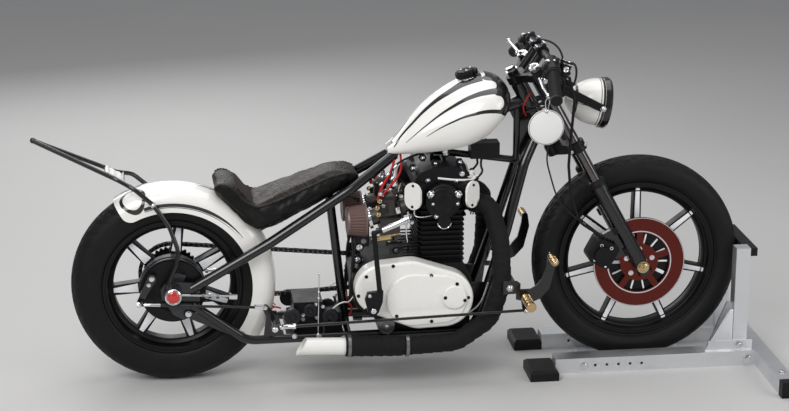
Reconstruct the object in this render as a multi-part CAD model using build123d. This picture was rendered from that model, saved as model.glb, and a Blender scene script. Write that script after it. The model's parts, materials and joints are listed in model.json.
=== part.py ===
from build123d import *
from math import acos, asin, atan2, cos, hypot, pi, radians, sin
import os

# Hardtail chopper motorcycle with a vertical twin engine, standing in a wheel chock.
# Millimetres. While it is modelled, X runs forward from the rear axle, Y to the left and Z up
# from the floor. The last function moves the whole machine so that its origin is the middle of
# its footprint.

# Running gear
WHEELBASE = 1490.0
RUN_CLEAR = 5.0
SHAFT_CLEAR = 0.08
SEAT_CLEAR = 0.3

REAR_TYRE_R = 315.0
REAR_TYRE_HALF = 65.0
REAR_RIM_R = 217.0
REAR_LIP_HALF = 55.0
REAR_HUB_R = 46.0
REAR_AXLE_R = 10.0
REAR_AXLE_HALF = 128.0

FRONT_TYRE_R = 336.0
FRONT_TYRE_HALF = 52.0
FRONT_RIM_R = 255.0
FRONT_LIP_HALF = 32.0
FRONT_HUB_R = 40.0
FRONT_AXLE_R = 8.5

BEAD_DEPTH = 14.0
CROWN_SHARE = 0.38
FLANGE_T = 5.0
BARREL_T = 6.0
SPOKES = 7
SPOKE_HALF_T = 17.0
REAR_SPOKE_PHASE = 82.0
FRONT_SPOKE_PHASE = 90.0
REAR_SPOKE_W = 32.0
FRONT_SPOKE_W = 24.0

# Wheel chock
CHOCK_PLATE_T = 4.0
TYRE_GAP = 0.5
RAIL_IN = 85.0
RAIL_W = 63.0
RAIL_H = 50.0
RAIL_WALL = 4.0
RAIL_REAR_X = WHEELBASE - 282.0
RAIL_FRONT_X = WHEELBASE + 375.0
TYRE_PLATE_HALF = 170.0
CROSS_BAR = 50.0
CROSS_HALF = 410.0
CROSS_CAP = 34.0
POST_X = WHEELBASE + 303.0
POST_L = 46.0
POST_W = 46.0
POST_TOP = 392.0
PAD_H = 26.0
PAD_DEPTH = 22.0
CHOCK_FOOT_L = 92.0
CHOCK_FOOT_H = 34.0
CHOCK_FOOT_OUT = 208.0
CHOCK_HOLE_R = 4.5
CHOCK_HOLES = 6
CHOCK_HOLE_STEP = 38.0
CHOCK_HOLE_X = WHEELBASE - 190.0

FRONT_AXLE_Z = CHOCK_PLATE_T + TYRE_GAP + FRONT_TYRE_R
REAR_AXLE_Z = REAR_TYRE_R

# Steering head: distances along the fork are measured up from the front axle
RAKE = radians(28.8)
FORK_HALF = 97.0
FORK_OFFSET = 60.0
FORK_TUBE_R = 17.5
SLIDER_R = 24.0
SLIDER_TOP = 312.0
SLIDER_BOTTOM = -30.0
SEAL_R = 27.0
SEAL_H = 22.0
LOWER_YOKE = 440.0
LOWER_YOKE_T = 32.0
UPPER_YOKE = 709.0
UPPER_YOKE_T = 25.0
FORK_TOP = UPPER_YOKE + UPPER_YOKE_T + 14.0
HEAD_COLLAR = 8.0
NECK_BOTTOM = LOWER_YOKE + LOWER_YOKE_T + HEAD_COLLAR
NECK_TOP = UPPER_YOKE - 5.0
NECK_R = 26.0
STEM_R = 14.0
YOKE_EYE_R = 27.0
YOKE_STEM_R = 28.0

# Bars
BAR_R = 11.0
BAR_RISE = 31.0
BAR_FORWARD = 50.0
BAR_MIDDLE = 60.0
RISER_HALF = 42.0
RISER_R = 13.0
GRIP_R = 17.0
GRIP_INNER = 222.0
GRIP_OUTER = 345.0
BAR_SHOULDER = 150.0
BAR_DROP = 84.0
BAR_PULL = 22.0
LEVER_DROP = 50.0
LEVER_FALL = 40.0
LEVER_SET = 22.0
LEVER_TIP_Y = 306.0
TAG_R = 56.0
TAG_T = 3.0
TAG_DROP = 96.0
WIRE_R = 1.3

# Headlight
LAMP_ALONG = 500.3
LAMP_FORWARD = 151.8
LAMP_R = 80.0
LAMP_LEN = 132.0
LAMP_TILT = 8.0
LAMP_WALL = 2.5
LAMP_RIM = 20.0

# Front brake
DISC_R = 149.0
DISC_IN_R = 102.0
CARRIER_R = 62.0
CARRIER_ARMS = 5
CARRIER_ARM_W = 20.0
DISC_T = 6.0
DISC_Y = -66.0
CALIPER_R = 138.0
CALIPER_ANGLE = 159.0

# Frame tubes
TUBE_R = 14.0
UPPER_RAIL_R = 16.0
DOWNTUBE_R = 17.0
RAIL_Y = 114.0
UPPER_KNEE_Y = 107.0
AXLE_PLATE_T = 12.0
BACKBONE_R = 19.0
LOWER_RAIL_Z = 149.0
HEAD_POST_X = WHEELBASE - 394.0
BACKBONE_KNEE = (760.0, 0.0, 752.0)
BACKBONE_REAR = (690.0, 0.0, 716.0)

# Engine
CASE_HALF = 128.0
CASE_LEFT = 66.0
LEFT_FACE = 114.0
CRANK_X = 815.0
CRANK_Z = 298.0
CRANK_COVER_R = 112.0
CLUTCH_X = 645.0
CLUTCH_Z = 325.0
CLUTCH_COVER_R = 83.0
RIGHT_COVER_T = 56.0
COVER_LOBES = ((643.0, 320.0, 82.0), (735.0, 318.0, 92.0), (842.0, 282.0, 92.0), (765.0, 279.0, 92.0))
LEFT_COVER_T = 44.0
CYL_X = 842.0
CYL_LEN = 148.0
CYL_HALF = 112.0
CYL_BASE = 384.0
CYL_TOP = 532.0
CYL_FINS = 10
FIN_T = 3.0
HEAD_TOP = 628.0
HEAD_LEN = 190.0
HEAD_HALF = 122.0
ROCKER_TOP = 690.0
CAP_TURN = radians(42)
CAP_HALF_W = 30.0
CAP_H = 86.0
CAP_T = 6.0
CAP_Z = 605.0
POINTS_R = 55.0
POINTS_Z = 588.0
PORT_HALF = 76.0
PORT_Z = 575.0
POD_X = 608.0
POD_Z = 517.0
KICK_X = 612.0
KICK_Z = 275.0
KICK_R = 9.0
KICK_BLOCK_HALF = 9.0
KICK_OUT = 44.0

# Final drive
CHAIN_PITCH = 15.875
REAR_TEETH = 34
DRIVE_TEETH = 17
CHAIN_Y = 86.0
CHAIN_W = 14.0
CHAIN_H = 15.0
TOOTH = 4.0
SPROCKET_T = 7.0
DRIVE_X = 600.0
DRIVE_Z = 300.0
CHAIN_RUN_GAP = 2.0

# Bodywork
FENDER_IN_R = 324.0
FENDER_HALF = 76.0
FENDER_T = 3.0
FENDER_SKIRT_R = 250.0
FENDER_REAR = 122.0
FENDER_FRONT = -35.0
FENDER_TAIL_R = 32.0
TANK_HALF = 138.0
TANK_REAR = 682.0
TANK_FRONT = WHEELBASE - 426.0
SISSY_R = 7.0

# Side stand
STAND_X = 700.0
STAND_Z = 128.0
STAND_Y = 130.0
STAND_LEN = 92.0
STAND_LEG_R = 7.5
STAND_PIN_R = 6.0
STAND_EYE_HALF = 9.0

# Forward controls and the brake rod that runs back from them
CONTROL_Y = 212.0
CONTROL_T = 8.0
CONTROL_PLATE_T = 6.0
BRAKE_PULL = (1092.0, 252.0)
BRAKE_PIN_R = 4.0
BRAKE_ROD_Y = -232.0
CRANK_PIVOT = (307.0, 226.0)
CRANK_PIVOT_R = 7.0

# Exhaust
PIPE_R = 29.0
PIPE_Y = 190.0
MUFFLER_R = 33.0
TIP_R = 27.5
TIP_WALL = 3.0

BOTTOM = (Align.CENTER, Align.CENTER, Align.MIN)
LEFT_AND_RIGHT = (1, -1)


# Directions along the fork

def fork_point(along, forward=0.0, y=0.0):
    """A point beside the fork: up the fork from the axle, square to it, and to the left."""
    x = WHEELBASE - along * sin(RAKE) + forward * cos(RAKE)
    z = FRONT_AXLE_Z + along * cos(RAKE) + forward * sin(RAKE)
    return Vector(x, y, z)


def steering_point(along):
    """A point on the steering axis, behind the fork tubes."""
    return fork_point(along, -FORK_OFFSET)


def fork_plane(along, forward=0.0, y=0.0):
    """A plane square to the fork, its x forward and its y to the left."""
    up = Vector(-sin(RAKE), 0, cos(RAKE))
    return Plane(origin=fork_point(along, forward, y), x_dir=(cos(RAKE), 0, sin(RAKE)), z_dir=up)


# Simple solids

def rod(start, end, radius):
    """A round bar between two points."""
    start, end = Vector(*start), Vector(*end)
    length = (end - start).length
    return Plane(origin=start, z_dir=end - start) * Cylinder(radius, length, align=BOTTOM)


def cross_rod(x, z, y_from, y_to, radius):
    """A round bar across the machine."""
    return rod((x, min(y_from, y_to), z), (x, max(y_from, y_to), z), radius)


def bent_tube(points, bends, radius):
    """A round tube along straight runs joined by tangent arcs."""
    path = FilletPolyline(*points, radius=bends)
    return sweep(Plane(origin=path @ 0, z_dir=path % 0) * Circle(radius), path=path)


def block(x, y, z):
    """A box given by its lowest and highest x, y and z."""
    size = (x[1] - x[0], y[1] - y[0], z[1] - z[0])
    return Pos(x[0], y[0], z[0]) * Box(*size, align=(Align.MIN, Align.MIN, Align.MIN))


def side_plate(outline, y_from, y_to):
    """An outline in x and z, made as thick as the gap between two y places."""
    plane = Plane(origin=(0, max(y_from, y_to), 0), x_dir=(1, 0, 0), z_dir=(0, -1, 0))
    return extrude(plane * outline, abs(y_to - y_from))


def hull_outline(ends):
    """The outline round two circles, each given by x, z and radius."""
    (x1, z1, r1), (x2, z2, r2) = ends
    span = hypot(x2 - x1, z2 - z1)
    heading = atan2(z2 - z1, x2 - x1)
    spread = acos((r1 - r2) / span)
    corners = []
    for x, z, r, side in ((x1, z1, r1, 1), (x2, z2, r2, 1), (x2, z2, r2, -1), (x1, z1, r1, -1)):
        corners.append((x + r * cos(heading + side * spread), z + r * sin(heading + side * spread)))
    web = make_face(Polyline(*corners, close=True))
    return Pos(x1, z1) * Circle(r1) + Pos(x2, z2) * Circle(r2) + web


def turned(x, z, outline, arc=360.0):
    """An outline in y and radius, turned about a wheel's axle."""
    plane = Plane(origin=(x, 0, z), x_dir=(0, 1, 0), z_dir=(1, 0, 0))
    return revolve(plane * outline, axis=Axis((x, 0, z), (0, 1, 0)), revolution_arc=arc)


def mirrored(part):
    """The same piece on the other side of the machine."""
    return mirror(part, about=Plane.XZ)


def pair(part):
    """A piece and its mirror image, as separate solids."""
    return [part, mirrored(part)]


def polygon(*corners):
    """A face inside straight edges."""
    return make_face(Polyline(*corners, close=True))


# Wheels

def tyre(x, z, outer_r, half, rim_r, lip_half):
    """A tyre seated between the flanges of its rim."""
    bead = lip_half - FLANGE_T - SEAT_CLEAR
    bead_r = rim_r - BEAD_DEPTH + SEAT_CLEAR
    wall_r = rim_r + 1.5
    bulge_r = rim_r + 0.42 * (outer_r - rim_r)
    shoulder_r = outer_r - 0.15 * (outer_r - rim_r)
    half_outline = [(bead, bead_r), (bead, wall_r), (half, bulge_r), (0.86 * half, shoulder_r),
                    (CROWN_SHARE * half, outer_r)]
    return turned(x, z, polygon(*half_outline, *[(-y, r) for y, r in reversed(half_outline)]))


def rim(x, z, rim_r, lip_half):
    """A cast rim with a dropped centre."""
    seat_r = rim_r - BEAD_DEPTH
    well_r = seat_r - 14
    well_half = 0.3 * lip_half
    step_half = well_half + 8
    inner = lip_half - FLANGE_T
    upper = [(-lip_half, rim_r), (-inner, rim_r), (-inner, seat_r), (-step_half, seat_r), (-well_half, well_r)]
    lower = [(well_half, well_r - BARREL_T), (step_half, seat_r - BARREL_T), (lip_half, seat_r)]
    mirror_upper = [(-u, r) for u, r in reversed(upper)]
    mirror_lower = [(-u, r) for u, r in reversed(lower)]
    return turned(x, z, polygon(*upper, *mirror_upper, *reversed(lower), *reversed(mirror_lower)))


def cast_wheel(x, z, rim_r, lip_half, hub, hub_r, spoke_w, phase):
    """Rim, spokes and hub in one casting. hub lists its outline in y and radius."""
    wheel = rim(x, z, rim_r, lip_half) + turned(x, z, polygon(*hub))
    root_r = hub_r - 5
    tip_r = rim_r - BEAD_DEPTH - BARREL_T - 13
    spoke = polygon((root_r, -0.62 * spoke_w), (tip_r, -0.5 * spoke_w), (tip_r, 0.5 * spoke_w),
                    (root_r, 0.62 * spoke_w))
    for number in range(SPOKES):
        turn = phase + number * 360 / SPOKES
        outline = Pos(x, z) * Rot(0, 0, turn) * spoke
        wheel += side_plate(outline, -SPOKE_HALF_T, SPOKE_HALF_T)
    return wheel


def rear_wheel():
    """Rear wheel with the brake drum on its right and the sprocket seat on its left."""
    bore = REAR_AXLE_R + SHAFT_CLEAR
    hub = [(-64, bore), (-64, 104), (-34, 104), (-28, REAR_HUB_R), (30, REAR_HUB_R), (38, 72),
           (CHAIN_Y - SPROCKET_T / 2 - SEAT_CLEAR, 72), (CHAIN_Y - SPROCKET_T / 2 - SEAT_CLEAR, bore)]
    wheel = cast_wheel(0, REAR_AXLE_Z, REAR_RIM_R, REAR_LIP_HALF, hub, REAR_HUB_R, REAR_SPOKE_W, REAR_SPOKE_PHASE)
    return wheel


def front_wheel():
    """Front wheel with its disc seat on the right."""
    bore = FRONT_AXLE_R + SHAFT_CLEAR
    seat = -DISC_Y - DISC_T / 2 - SEAT_CLEAR
    hub = [(-seat, bore), (-seat, 56), (-34, 56), (-26, FRONT_HUB_R), (44, FRONT_HUB_R), (54, 30), (54, bore)]
    return cast_wheel(WHEELBASE, FRONT_AXLE_Z, FRONT_RIM_R, FRONT_LIP_HALF, hub, FRONT_HUB_R, FRONT_SPOKE_W,
                      FRONT_SPOKE_PHASE)


def front_disc():
    """Brake disc on a cast carrier with five arms."""
    x, z = WHEELBASE, FRONT_AXLE_Z
    low, high = DISC_Y - DISC_T / 2, DISC_Y + DISC_T / 2
    opening = Circle(DISC_IN_R - 4) - Circle(CARRIER_R)
    arm = polygon((0, -CARRIER_ARM_W / 2), (DISC_IN_R, -CARRIER_ARM_W / 2), (DISC_IN_R, CARRIER_ARM_W / 2),
                  (0, CARRIER_ARM_W / 2))
    for number in range(CARRIER_ARMS):
        opening -= Rot(0, 0, 18 + number * 360 / CARRIER_ARMS) * arm
    outline = Circle(DISC_R) - Circle(22) - opening
    return side_plate(Pos(x, z) * outline, low, high)


def rear_sprocket():
    """Toothed ring bolted to the left of the rear hub."""
    pitch_r = CHAIN_PITCH / (2 * sin(pi / REAR_TEETH))
    return toothed_wheel(0, REAR_AXLE_Z, pitch_r, REAR_TEETH, REAR_AXLE_R + SHAFT_CLEAR)


def toothed_wheel(x, z, pitch_r, teeth, bore):
    """A sprocket whose teeth are blunt wedges."""
    corners = []
    for number in range(teeth):
        turn = number * 2 * pi / teeth
        step = 2 * pi / teeth
        for share, r in ((0.0, pitch_r - TOOTH), (0.34, pitch_r + TOOTH), (0.62, pitch_r + TOOTH)):
            corners.append((x + r * cos(turn + share * step), z + r * sin(turn + share * step)))
    outline = polygon(*corners) - Pos(x, z) * Circle(bore)
    return side_plate(outline, CHAIN_Y - SPROCKET_T / 2, CHAIN_Y + SPROCKET_T / 2)


def chain():
    """The chain as one loop: straight runs and wraps, with a waist between every two pins."""
    rear_r = CHAIN_PITCH / (2 * sin(pi / REAR_TEETH)) + TOOTH + CHAIN_RUN_GAP
    drive_r = CHAIN_PITCH / (2 * sin(pi / DRIVE_TEETH)) + TOOTH + SEAT_CLEAR
    wraps = ((0.0, REAR_AXLE_Z, rear_r), (DRIVE_X, DRIVE_Z, drive_r))
    inner = hull_outline(wraps)
    middle = [(x, z, r + CHAIN_H / 2) for x, z, r in wraps]
    heading = atan2(DRIVE_Z - REAR_AXLE_Z, DRIVE_X)
    span = hypot(DRIVE_X, DRIVE_Z - REAR_AXLE_Z)
    spread = acos((middle[0][2] - middle[1][2]) / span)
    run = span * sin(spread)
    rear_wrap = (2 * pi - 2 * spread) * middle[0][2]
    drive_wrap = 2 * spread * middle[1][2]
    total = 2 * run + rear_wrap + drive_wrap
    links = round(total / CHAIN_PITCH)
    step = total / links
    crest, waist = CHAIN_H / 2, CHAIN_H / 2 - 2.5
    corners = []
    for number in range(2 * links):
        bulge = crest if number % 2 == 0 else waist
        along = number * step / 2
        corners.append(chain_place(along, bulge, middle, heading, spread, run, drive_wrap, rear_wrap))
    loop = polygon(*corners) - inner
    return side_plate(loop, CHAIN_Y - CHAIN_W / 2, CHAIN_Y + CHAIN_W / 2)


def chain_place(along, bulge, middle, heading, spread, run, drive_wrap, rear_wrap):
    """A point of the chain's outer edge, along the loop from the top of the rear wrap."""
    (x1, z1, r1), (x2, z2, r2) = middle
    if along < run:
        turn = heading + spread
        x = x1 + (r1 + bulge) * cos(turn) + along * sin(turn)
        z = z1 + (r1 + bulge) * sin(turn) - along * cos(turn)
        return (x, z)
    along -= run
    if along < drive_wrap:
        turn = heading + spread - along / r2
        return (x2 + (r2 + bulge) * cos(turn), z2 + (r2 + bulge) * sin(turn))
    along -= drive_wrap
    if along < run:
        turn = heading - spread
        x = x2 + (r2 + bulge) * cos(turn) + along * sin(turn)
        z = z2 + (r2 + bulge) * sin(turn) - along * cos(turn)
        return (x, z)
    along -= run
    turn = heading - spread - along / r1
    return (x1 + (r1 + bulge) * cos(turn), z1 + (r1 + bulge) * sin(turn))


# Wheel chock

def chock_rails():
    """Two box rails, the plate under the tyre and the cross bar in front, welded into one base."""
    base = Part()
    for side in LEFT_AND_RIGHT:
        inner, outer = side * RAIL_IN, side * (RAIL_IN + RAIL_W)
        y = (min(inner, outer), max(inner, outer))
        rail = block((RAIL_REAR_X, RAIL_FRONT_X), y, (0, RAIL_H))
        hollow_y = (y[0] + RAIL_WALL, y[1] - RAIL_WALL)
        rail -= block((RAIL_REAR_X + 30, RAIL_FRONT_X - 10), hollow_y, (RAIL_WALL, RAIL_H - RAIL_WALL))
        base += rail
    plate_x = (WHEELBASE - TYRE_PLATE_HALF, WHEELBASE + TYRE_PLATE_HALF)
    base += block(plate_x, (-RAIL_IN, RAIL_IN), (0, CHOCK_PLATE_T))
    cross_x = (RAIL_FRONT_X, RAIL_FRONT_X + CROSS_BAR)
    base += block(cross_x, (-CROSS_HALF, CROSS_HALF), (0, RAIL_H))
    for number in range(CHOCK_HOLES):
        x = CHOCK_HOLE_X + number * CHOCK_HOLE_STEP
        reach = RAIL_IN + RAIL_W
        base -= cross_rod(x, RAIL_H / 2, -reach, reach, CHOCK_HOLE_R)
    for y in (-CROSS_HALF + 60, CROSS_HALF - 60):
        base -= rod((RAIL_FRONT_X + CROSS_BAR / 2, y, 0), (RAIL_FRONT_X + CROSS_BAR / 2, y, RAIL_H),
                    CHOCK_HOLE_R + 1)
    return base


def chock_posts():
    """Upright posts beside the tyre, each with a gusset down to its rail."""
    post = block((POST_X, POST_X + POST_L), (RAIL_IN, RAIL_IN + POST_W), (RAIL_H, POST_TOP))
    gusset = side_plate(polygon((POST_X - 74, RAIL_H), (POST_X, RAIL_H), (POST_X, RAIL_H + 150),
                                (POST_X - 14, RAIL_H + 150)), RAIL_IN + 2, RAIL_IN + 8)
    foot = block((POST_X - 82, POST_X + POST_L + 18), (RAIL_IN + POST_W, RAIL_IN + POST_W + 4),
                 (RAIL_H, RAIL_H + 34))
    return pair(post + gusset + foot)


def wheel_chock():
    """The whole welded chock."""
    left, right = chock_posts()
    return chock_rails() + left + right


def chock_pad():
    """Black pad between the post tops, hollowed to the tyre."""
    low = POST_TOP - PAD_H
    front = POST_X + POST_L + PAD_DEPTH
    pad = block((POST_X + 14, front), (-RAIL_IN, RAIL_IN), (low, POST_TOP))
    arms = block((POST_X + POST_L, front), (-RAIL_IN - POST_W, RAIL_IN + POST_W), (low, POST_TOP))
    tyre_space = cross_rod(WHEELBASE, FRONT_AXLE_Z, -200, 200, FRONT_TYRE_R + TYRE_GAP)
    return pad + arms - tyre_space


def chock_caps():
    """Black rubber feet at the rear of the rails and caps on the cross bar."""
    foot_y = (RAIL_IN - 6, CHOCK_FOOT_OUT)
    foot = block((RAIL_REAR_X - CHOCK_FOOT_L, RAIL_REAR_X), foot_y, (0, CHOCK_FOOT_H))
    foot = chamfer(foot.edges().group_by(Axis.Z)[-1], 8)
    cap = block((RAIL_FRONT_X - 2, RAIL_FRONT_X + CROSS_BAR + 2), (CROSS_HALF, CROSS_HALF + CROSS_CAP),
                (0, RAIL_H + 2))
    return pair(foot) + pair(cap)


# Fork and steering head

def fork_tubes():
    """Two chromed stanchions with top caps."""
    tube = fork_plane(SLIDER_TOP - 170, 0, FORK_HALF) * Cylinder(FORK_TUBE_R, FORK_TOP - SLIDER_TOP + 170,
                                                               align=BOTTOM)
    return pair(tube)


def fork_sliders():
    """Two black sliders with a seal collar, axle boss and a bore for the stanchion."""
    length = SLIDER_TOP - SLIDER_BOTTOM
    slider = fork_plane(SLIDER_BOTTOM, 0, FORK_HALF) * Cylinder(SLIDER_R, length, align=BOTTOM)
    slider += fork_plane(SLIDER_TOP - SEAL_H, 0, FORK_HALF) * Cylinder(SEAL_R, SEAL_H, align=BOTTOM)
    slider += cross_rod(WHEELBASE, FRONT_AXLE_Z, FORK_HALF - 24, FORK_HALF + 24, 21)
    bore = fork_plane(SLIDER_TOP - 170, 0, FORK_HALF) * Cylinder(FORK_TUBE_R, 400, align=BOTTOM)
    slider -= bore
    slider -= cross_rod(WHEELBASE, FRONT_AXLE_Z, 0, 200, FRONT_AXLE_R)
    lug = side_plate(caliper_lug(), -FORK_HALF - 9, -FORK_HALF + 9)
    right = mirrored(slider)
    right += lug - fork_plane(SLIDER_BOTTOM, 0, -FORK_HALF) * Cylinder(SLIDER_R - 1, length, align=BOTTOM)
    right -= mirrored(bore)
    return [slider, right]


def caliper_lug():
    """Outline of the lugs that carry the caliper behind the right slider."""
    low, high = fork_point(62, -16), fork_point(158, -16)
    far = 46 * cos(RAKE), 46 * sin(RAKE)
    return polygon((low.X, low.Z), (high.X, high.Z), (high.X - far[0], high.Z - far[1]),
                   (low.X - far[0], low.Z - far[1]))


def front_caliper():
    """Caliper body straddling the disc behind the right fork leg."""
    turn = radians(CALIPER_ANGLE)
    x, z = WHEELBASE + CALIPER_R * cos(turn), FRONT_AXLE_Z + CALIPER_R * sin(turn)
    y_in, y_out = DISC_Y + DISC_T / 2 + 20, -FORK_HALF - 28
    body = Pos(x, (y_in + y_out) / 2, z) * Rot(0, 28, 0) * Box(78, y_in - y_out, 84)
    body = fillet(body.edges().filter_by(Axis.Y), 16)
    slot = cross_rod(WHEELBASE, FRONT_AXLE_Z, DISC_Y - DISC_T / 2 - RUN_CLEAR, DISC_Y + DISC_T / 2 + RUN_CLEAR,
                     DISC_R + RUN_CLEAR)
    wheel_space = cross_rod(WHEELBASE, FRONT_AXLE_Z, DISC_Y, 0, 112)
    piston = cross_rod(x - 4, z - 2, y_out - 8, y_out, 26)
    body = body + piston - slot - wheel_space
    for leg in fork_sliders():
        body -= leg
    return body


def front_axle():
    """Axle through the fork ends and hub, with its nuts and spacers."""
    reach = FORK_HALF + 24
    shaft = cross_rod(WHEELBASE, FRONT_AXLE_Z, -reach, reach, FRONT_AXLE_R)
    nut = side_plate(Pos(WHEELBASE, FRONT_AXLE_Z) * RegularPolygon(14, 6), reach, reach + 9)
    cap = cross_rod(WHEELBASE, FRONT_AXLE_Z, reach, reach + 14, 8)
    spacer_in = -DISC_Y + DISC_T / 2 + 1
    collar = cross_rod(WHEELBASE, FRONT_AXLE_Z, -FORK_HALF + 24, -spacer_in, 13)
    far_collar = cross_rod(WHEELBASE, FRONT_AXLE_Z, 55, FORK_HALF - 24, 13)
    return shaft + nut + cap + mirrored(nut + cap) + collar + far_collar


def yoke(along, thickness):
    """A yoke plate from leg to leg, round the stem, square to the fork."""
    eye = Pos(0, FORK_HALF) * Circle(YOKE_EYE_R)
    stem = Pos(-FORK_OFFSET, 0) * Circle(YOKE_STEM_R)
    arm = polygon((YOKE_EYE_R * 0.8, FORK_HALF), (-FORK_OFFSET + 22, 14), (-FORK_OFFSET - 8, 22),
                  (-YOKE_EYE_R * 0.8, FORK_HALF + 4))
    half = eye + arm
    outline = half + mirror(half, about=Plane.XZ) + stem
    bridge = polygon((-FORK_OFFSET, -26), (-FORK_OFFSET + 34, -26), (-FORK_OFFSET + 34, 26), (-FORK_OFFSET, 26))
    outline += bridge
    outline -= Pos(0, FORK_HALF) * Circle(FORK_TUBE_R)
    outline -= Pos(0, -FORK_HALF) * Circle(FORK_TUBE_R)
    return extrude(fork_plane(along) * outline, thickness)


def lower_yoke():
    """Lower yoke with the steering stem standing on it."""
    stem_length = UPPER_YOKE - LOWER_YOKE - LOWER_YOKE_T
    stem = fork_plane(LOWER_YOKE + LOWER_YOKE_T, -FORK_OFFSET) * Cylinder(STEM_R, stem_length, align=BOTTOM)
    collar_h = NECK_BOTTOM - LOWER_YOKE - LOWER_YOKE_T - SEAT_CLEAR
    collar = fork_plane(LOWER_YOKE + LOWER_YOKE_T, -FORK_OFFSET) * Cylinder(NECK_R, collar_h, align=BOTTOM)
    return yoke(LOWER_YOKE, LOWER_YOKE_T) + stem + collar


def upper_yoke():
    """Upper yoke with the stem nut and the two bar risers."""
    top = UPPER_YOKE + UPPER_YOKE_T
    plate = yoke(UPPER_YOKE, UPPER_YOKE_T)
    plate += fork_plane(top, -FORK_OFFSET) * Cylinder(17, 14, align=BOTTOM)
    seat = bar_centre()
    for side in LEFT_AND_RIGHT:
        foot = fork_point(top - 12, -32, side * RISER_HALF)
        plate += rod(foot, (seat.X, side * RISER_HALF, seat.Z), RISER_R)
        plate += cross_rod(seat.X, seat.Z, side * RISER_HALF - 15, side * RISER_HALF + 15, BAR_R + 8)
    return plate - handlebar_tube()


def bar_centre():
    """Middle of the handlebar, in the risers' clamps."""
    return fork_point(UPPER_YOKE + UPPER_YOKE_T + BAR_RISE, BAR_FORWARD)


def bar_point(y):
    """A point of the bar's outer stretch, which drops and pulls back towards its end."""
    centre = bar_centre()
    share = (abs(y) - BAR_SHOULDER) / (GRIP_OUTER - BAR_SHOULDER)
    return Vector(centre.X + 6 - BAR_PULL * share, y, centre.Z - BAR_DROP * share)


def handlebar_tube():
    """Low bar, straight in the clamps and drooping to the grips."""
    centre = bar_centre()
    middle = cross_rod(centre.X, centre.Z, -BAR_MIDDLE, BAR_MIDDLE, BAR_R)
    points = [(centre.X, BAR_MIDDLE, centre.Z), (centre.X, BAR_MIDDLE + 14, centre.Z),
              tuple(bar_point(BAR_SHOULDER + 12)), tuple(bar_point(GRIP_OUTER - 4))]
    side = bent_tube(points, [60, 60], BAR_R)
    return middle + side + mirrored(side)


def grips():
    """Ribbed rubber grips over the ends of the bar."""
    grip = rod(bar_point(GRIP_INNER), bar_point(GRIP_OUTER), GRIP_R)
    flange = rod(bar_point(GRIP_INNER), bar_point(GRIP_INNER + 6), GRIP_R + 6)
    end = rod(bar_point(GRIP_OUTER), bar_point(GRIP_OUTER + 6), GRIP_R + 2)
    whole = grip + flange + end - handlebar_tube()
    return pair(whole)


def bar_controls():
    """Throttle and switch housings, with the lever perches below them."""
    inner = GRIP_INNER - 40
    housing = rod(bar_point(inner), bar_point(GRIP_INNER - 0.5), 24)
    perch = rod(bar_point(inner - 26), bar_point(inner - 1), 18)
    foot = bar_point(inner - 14)
    arm = rod(foot, (foot.X - LEVER_SET, foot.Y, foot.Z - LEVER_DROP), 9)
    left = housing + perch + arm
    right = mirrored(left) + brake_master()
    return [left - handlebar_tube(), right - handlebar_tube()]


def lever_points():
    """Pivot and tip of the left hand lever."""
    foot = bar_point(GRIP_INNER - 54)
    pivot = Vector(foot.X - LEVER_SET, foot.Y, foot.Z - LEVER_DROP - 7)
    tip = Vector(pivot.X - 4, LEVER_TIP_Y, pivot.Z - LEVER_FALL)
    return pivot, tip


def hand_levers():
    """Chromed blades with a ball end, below the grips."""
    pivot, tip = lever_points()
    blade = Plane(origin=pivot, z_dir=tip - pivot) * Cone(7.5, 4.5, (tip - pivot).length, align=BOTTOM)
    ball = Pos(*tip) * Sphere(8)
    boss = cross_rod(pivot.X, pivot.Z, pivot.Y - 10, pivot.Y + 10, 9)
    foot = bar_point(GRIP_INNER - 54)
    arm = rod(foot, (foot.X - LEVER_SET, foot.Y, foot.Z - LEVER_DROP), 9)
    return pair(blade + ball + boss - arm)


def brake_master():
    """Round fluid reservoir on the right of the bar."""
    place = bar_point(-GRIP_INNER + 53)
    body = rod(place + Vector(10, 18, -12), place + Vector(52, -6, -44), 13)
    tilt = Plane(origin=place + Vector(34, 0, -38), z_dir=(0.35, 0, 1))
    cup = tilt * Cylinder(19, 38, align=BOTTOM)
    lid = tilt * Pos(0, 0, 38) * Cylinder(21, 6, align=BOTTOM)
    return cup + lid + body


def hang_tag():
    """Blank round tag with a wire eye at its top."""
    _, tip = lever_points()
    x, y, z = tip.X, -tip.Y + 12, tip.Z - TAG_DROP
    disc = cross_rod(x, z, y - TAG_T / 2, y + TAG_T / 2, TAG_R)
    eye = Plane(origin=(x, y, z + TAG_R + 3), z_dir=(1, 0, 0)) * Torus(5, WIRE_R)
    return disc + eye


def tag_wire():
    """Closed loop of wire from the lever's tip down through the tag's eye."""
    _, tip = lever_points()
    x, y, z = tip.X, -tip.Y + 12, tip.Z
    low = z - TAG_DROP + TAG_R + 3 + 5 - 2 * WIRE_R
    half = 9 + WIRE_R
    path = Wire([
        ThreePointArc((x - half, y, z), (x, y, z + half), (x + half, y, z)),
        Line((x + half, y, z), (x + 4, y, low + 4)),
        ThreePointArc((x + 4, y, low + 4), (x, y, low), (x - 4, y, low + 4)),
        Line((x - 4, y, low + 4), (x - half, y, z)),
    ])
    return sweep(Plane(origin=path @ 0, z_dir=path % 0) * Circle(WIRE_R), path=path)


# Headlight

def lamp_plane(back=0.0):
    """Plane of the lamp's rim, its z pointing forward and a little down."""
    tilt = radians(LAMP_TILT)
    ahead = Vector(cos(tilt), 0, -sin(tilt))
    return Plane(origin=fork_point(LAMP_ALONG, LAMP_FORWARD) - ahead * back, x_dir=(0, 1, 0), z_dir=ahead)


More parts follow.
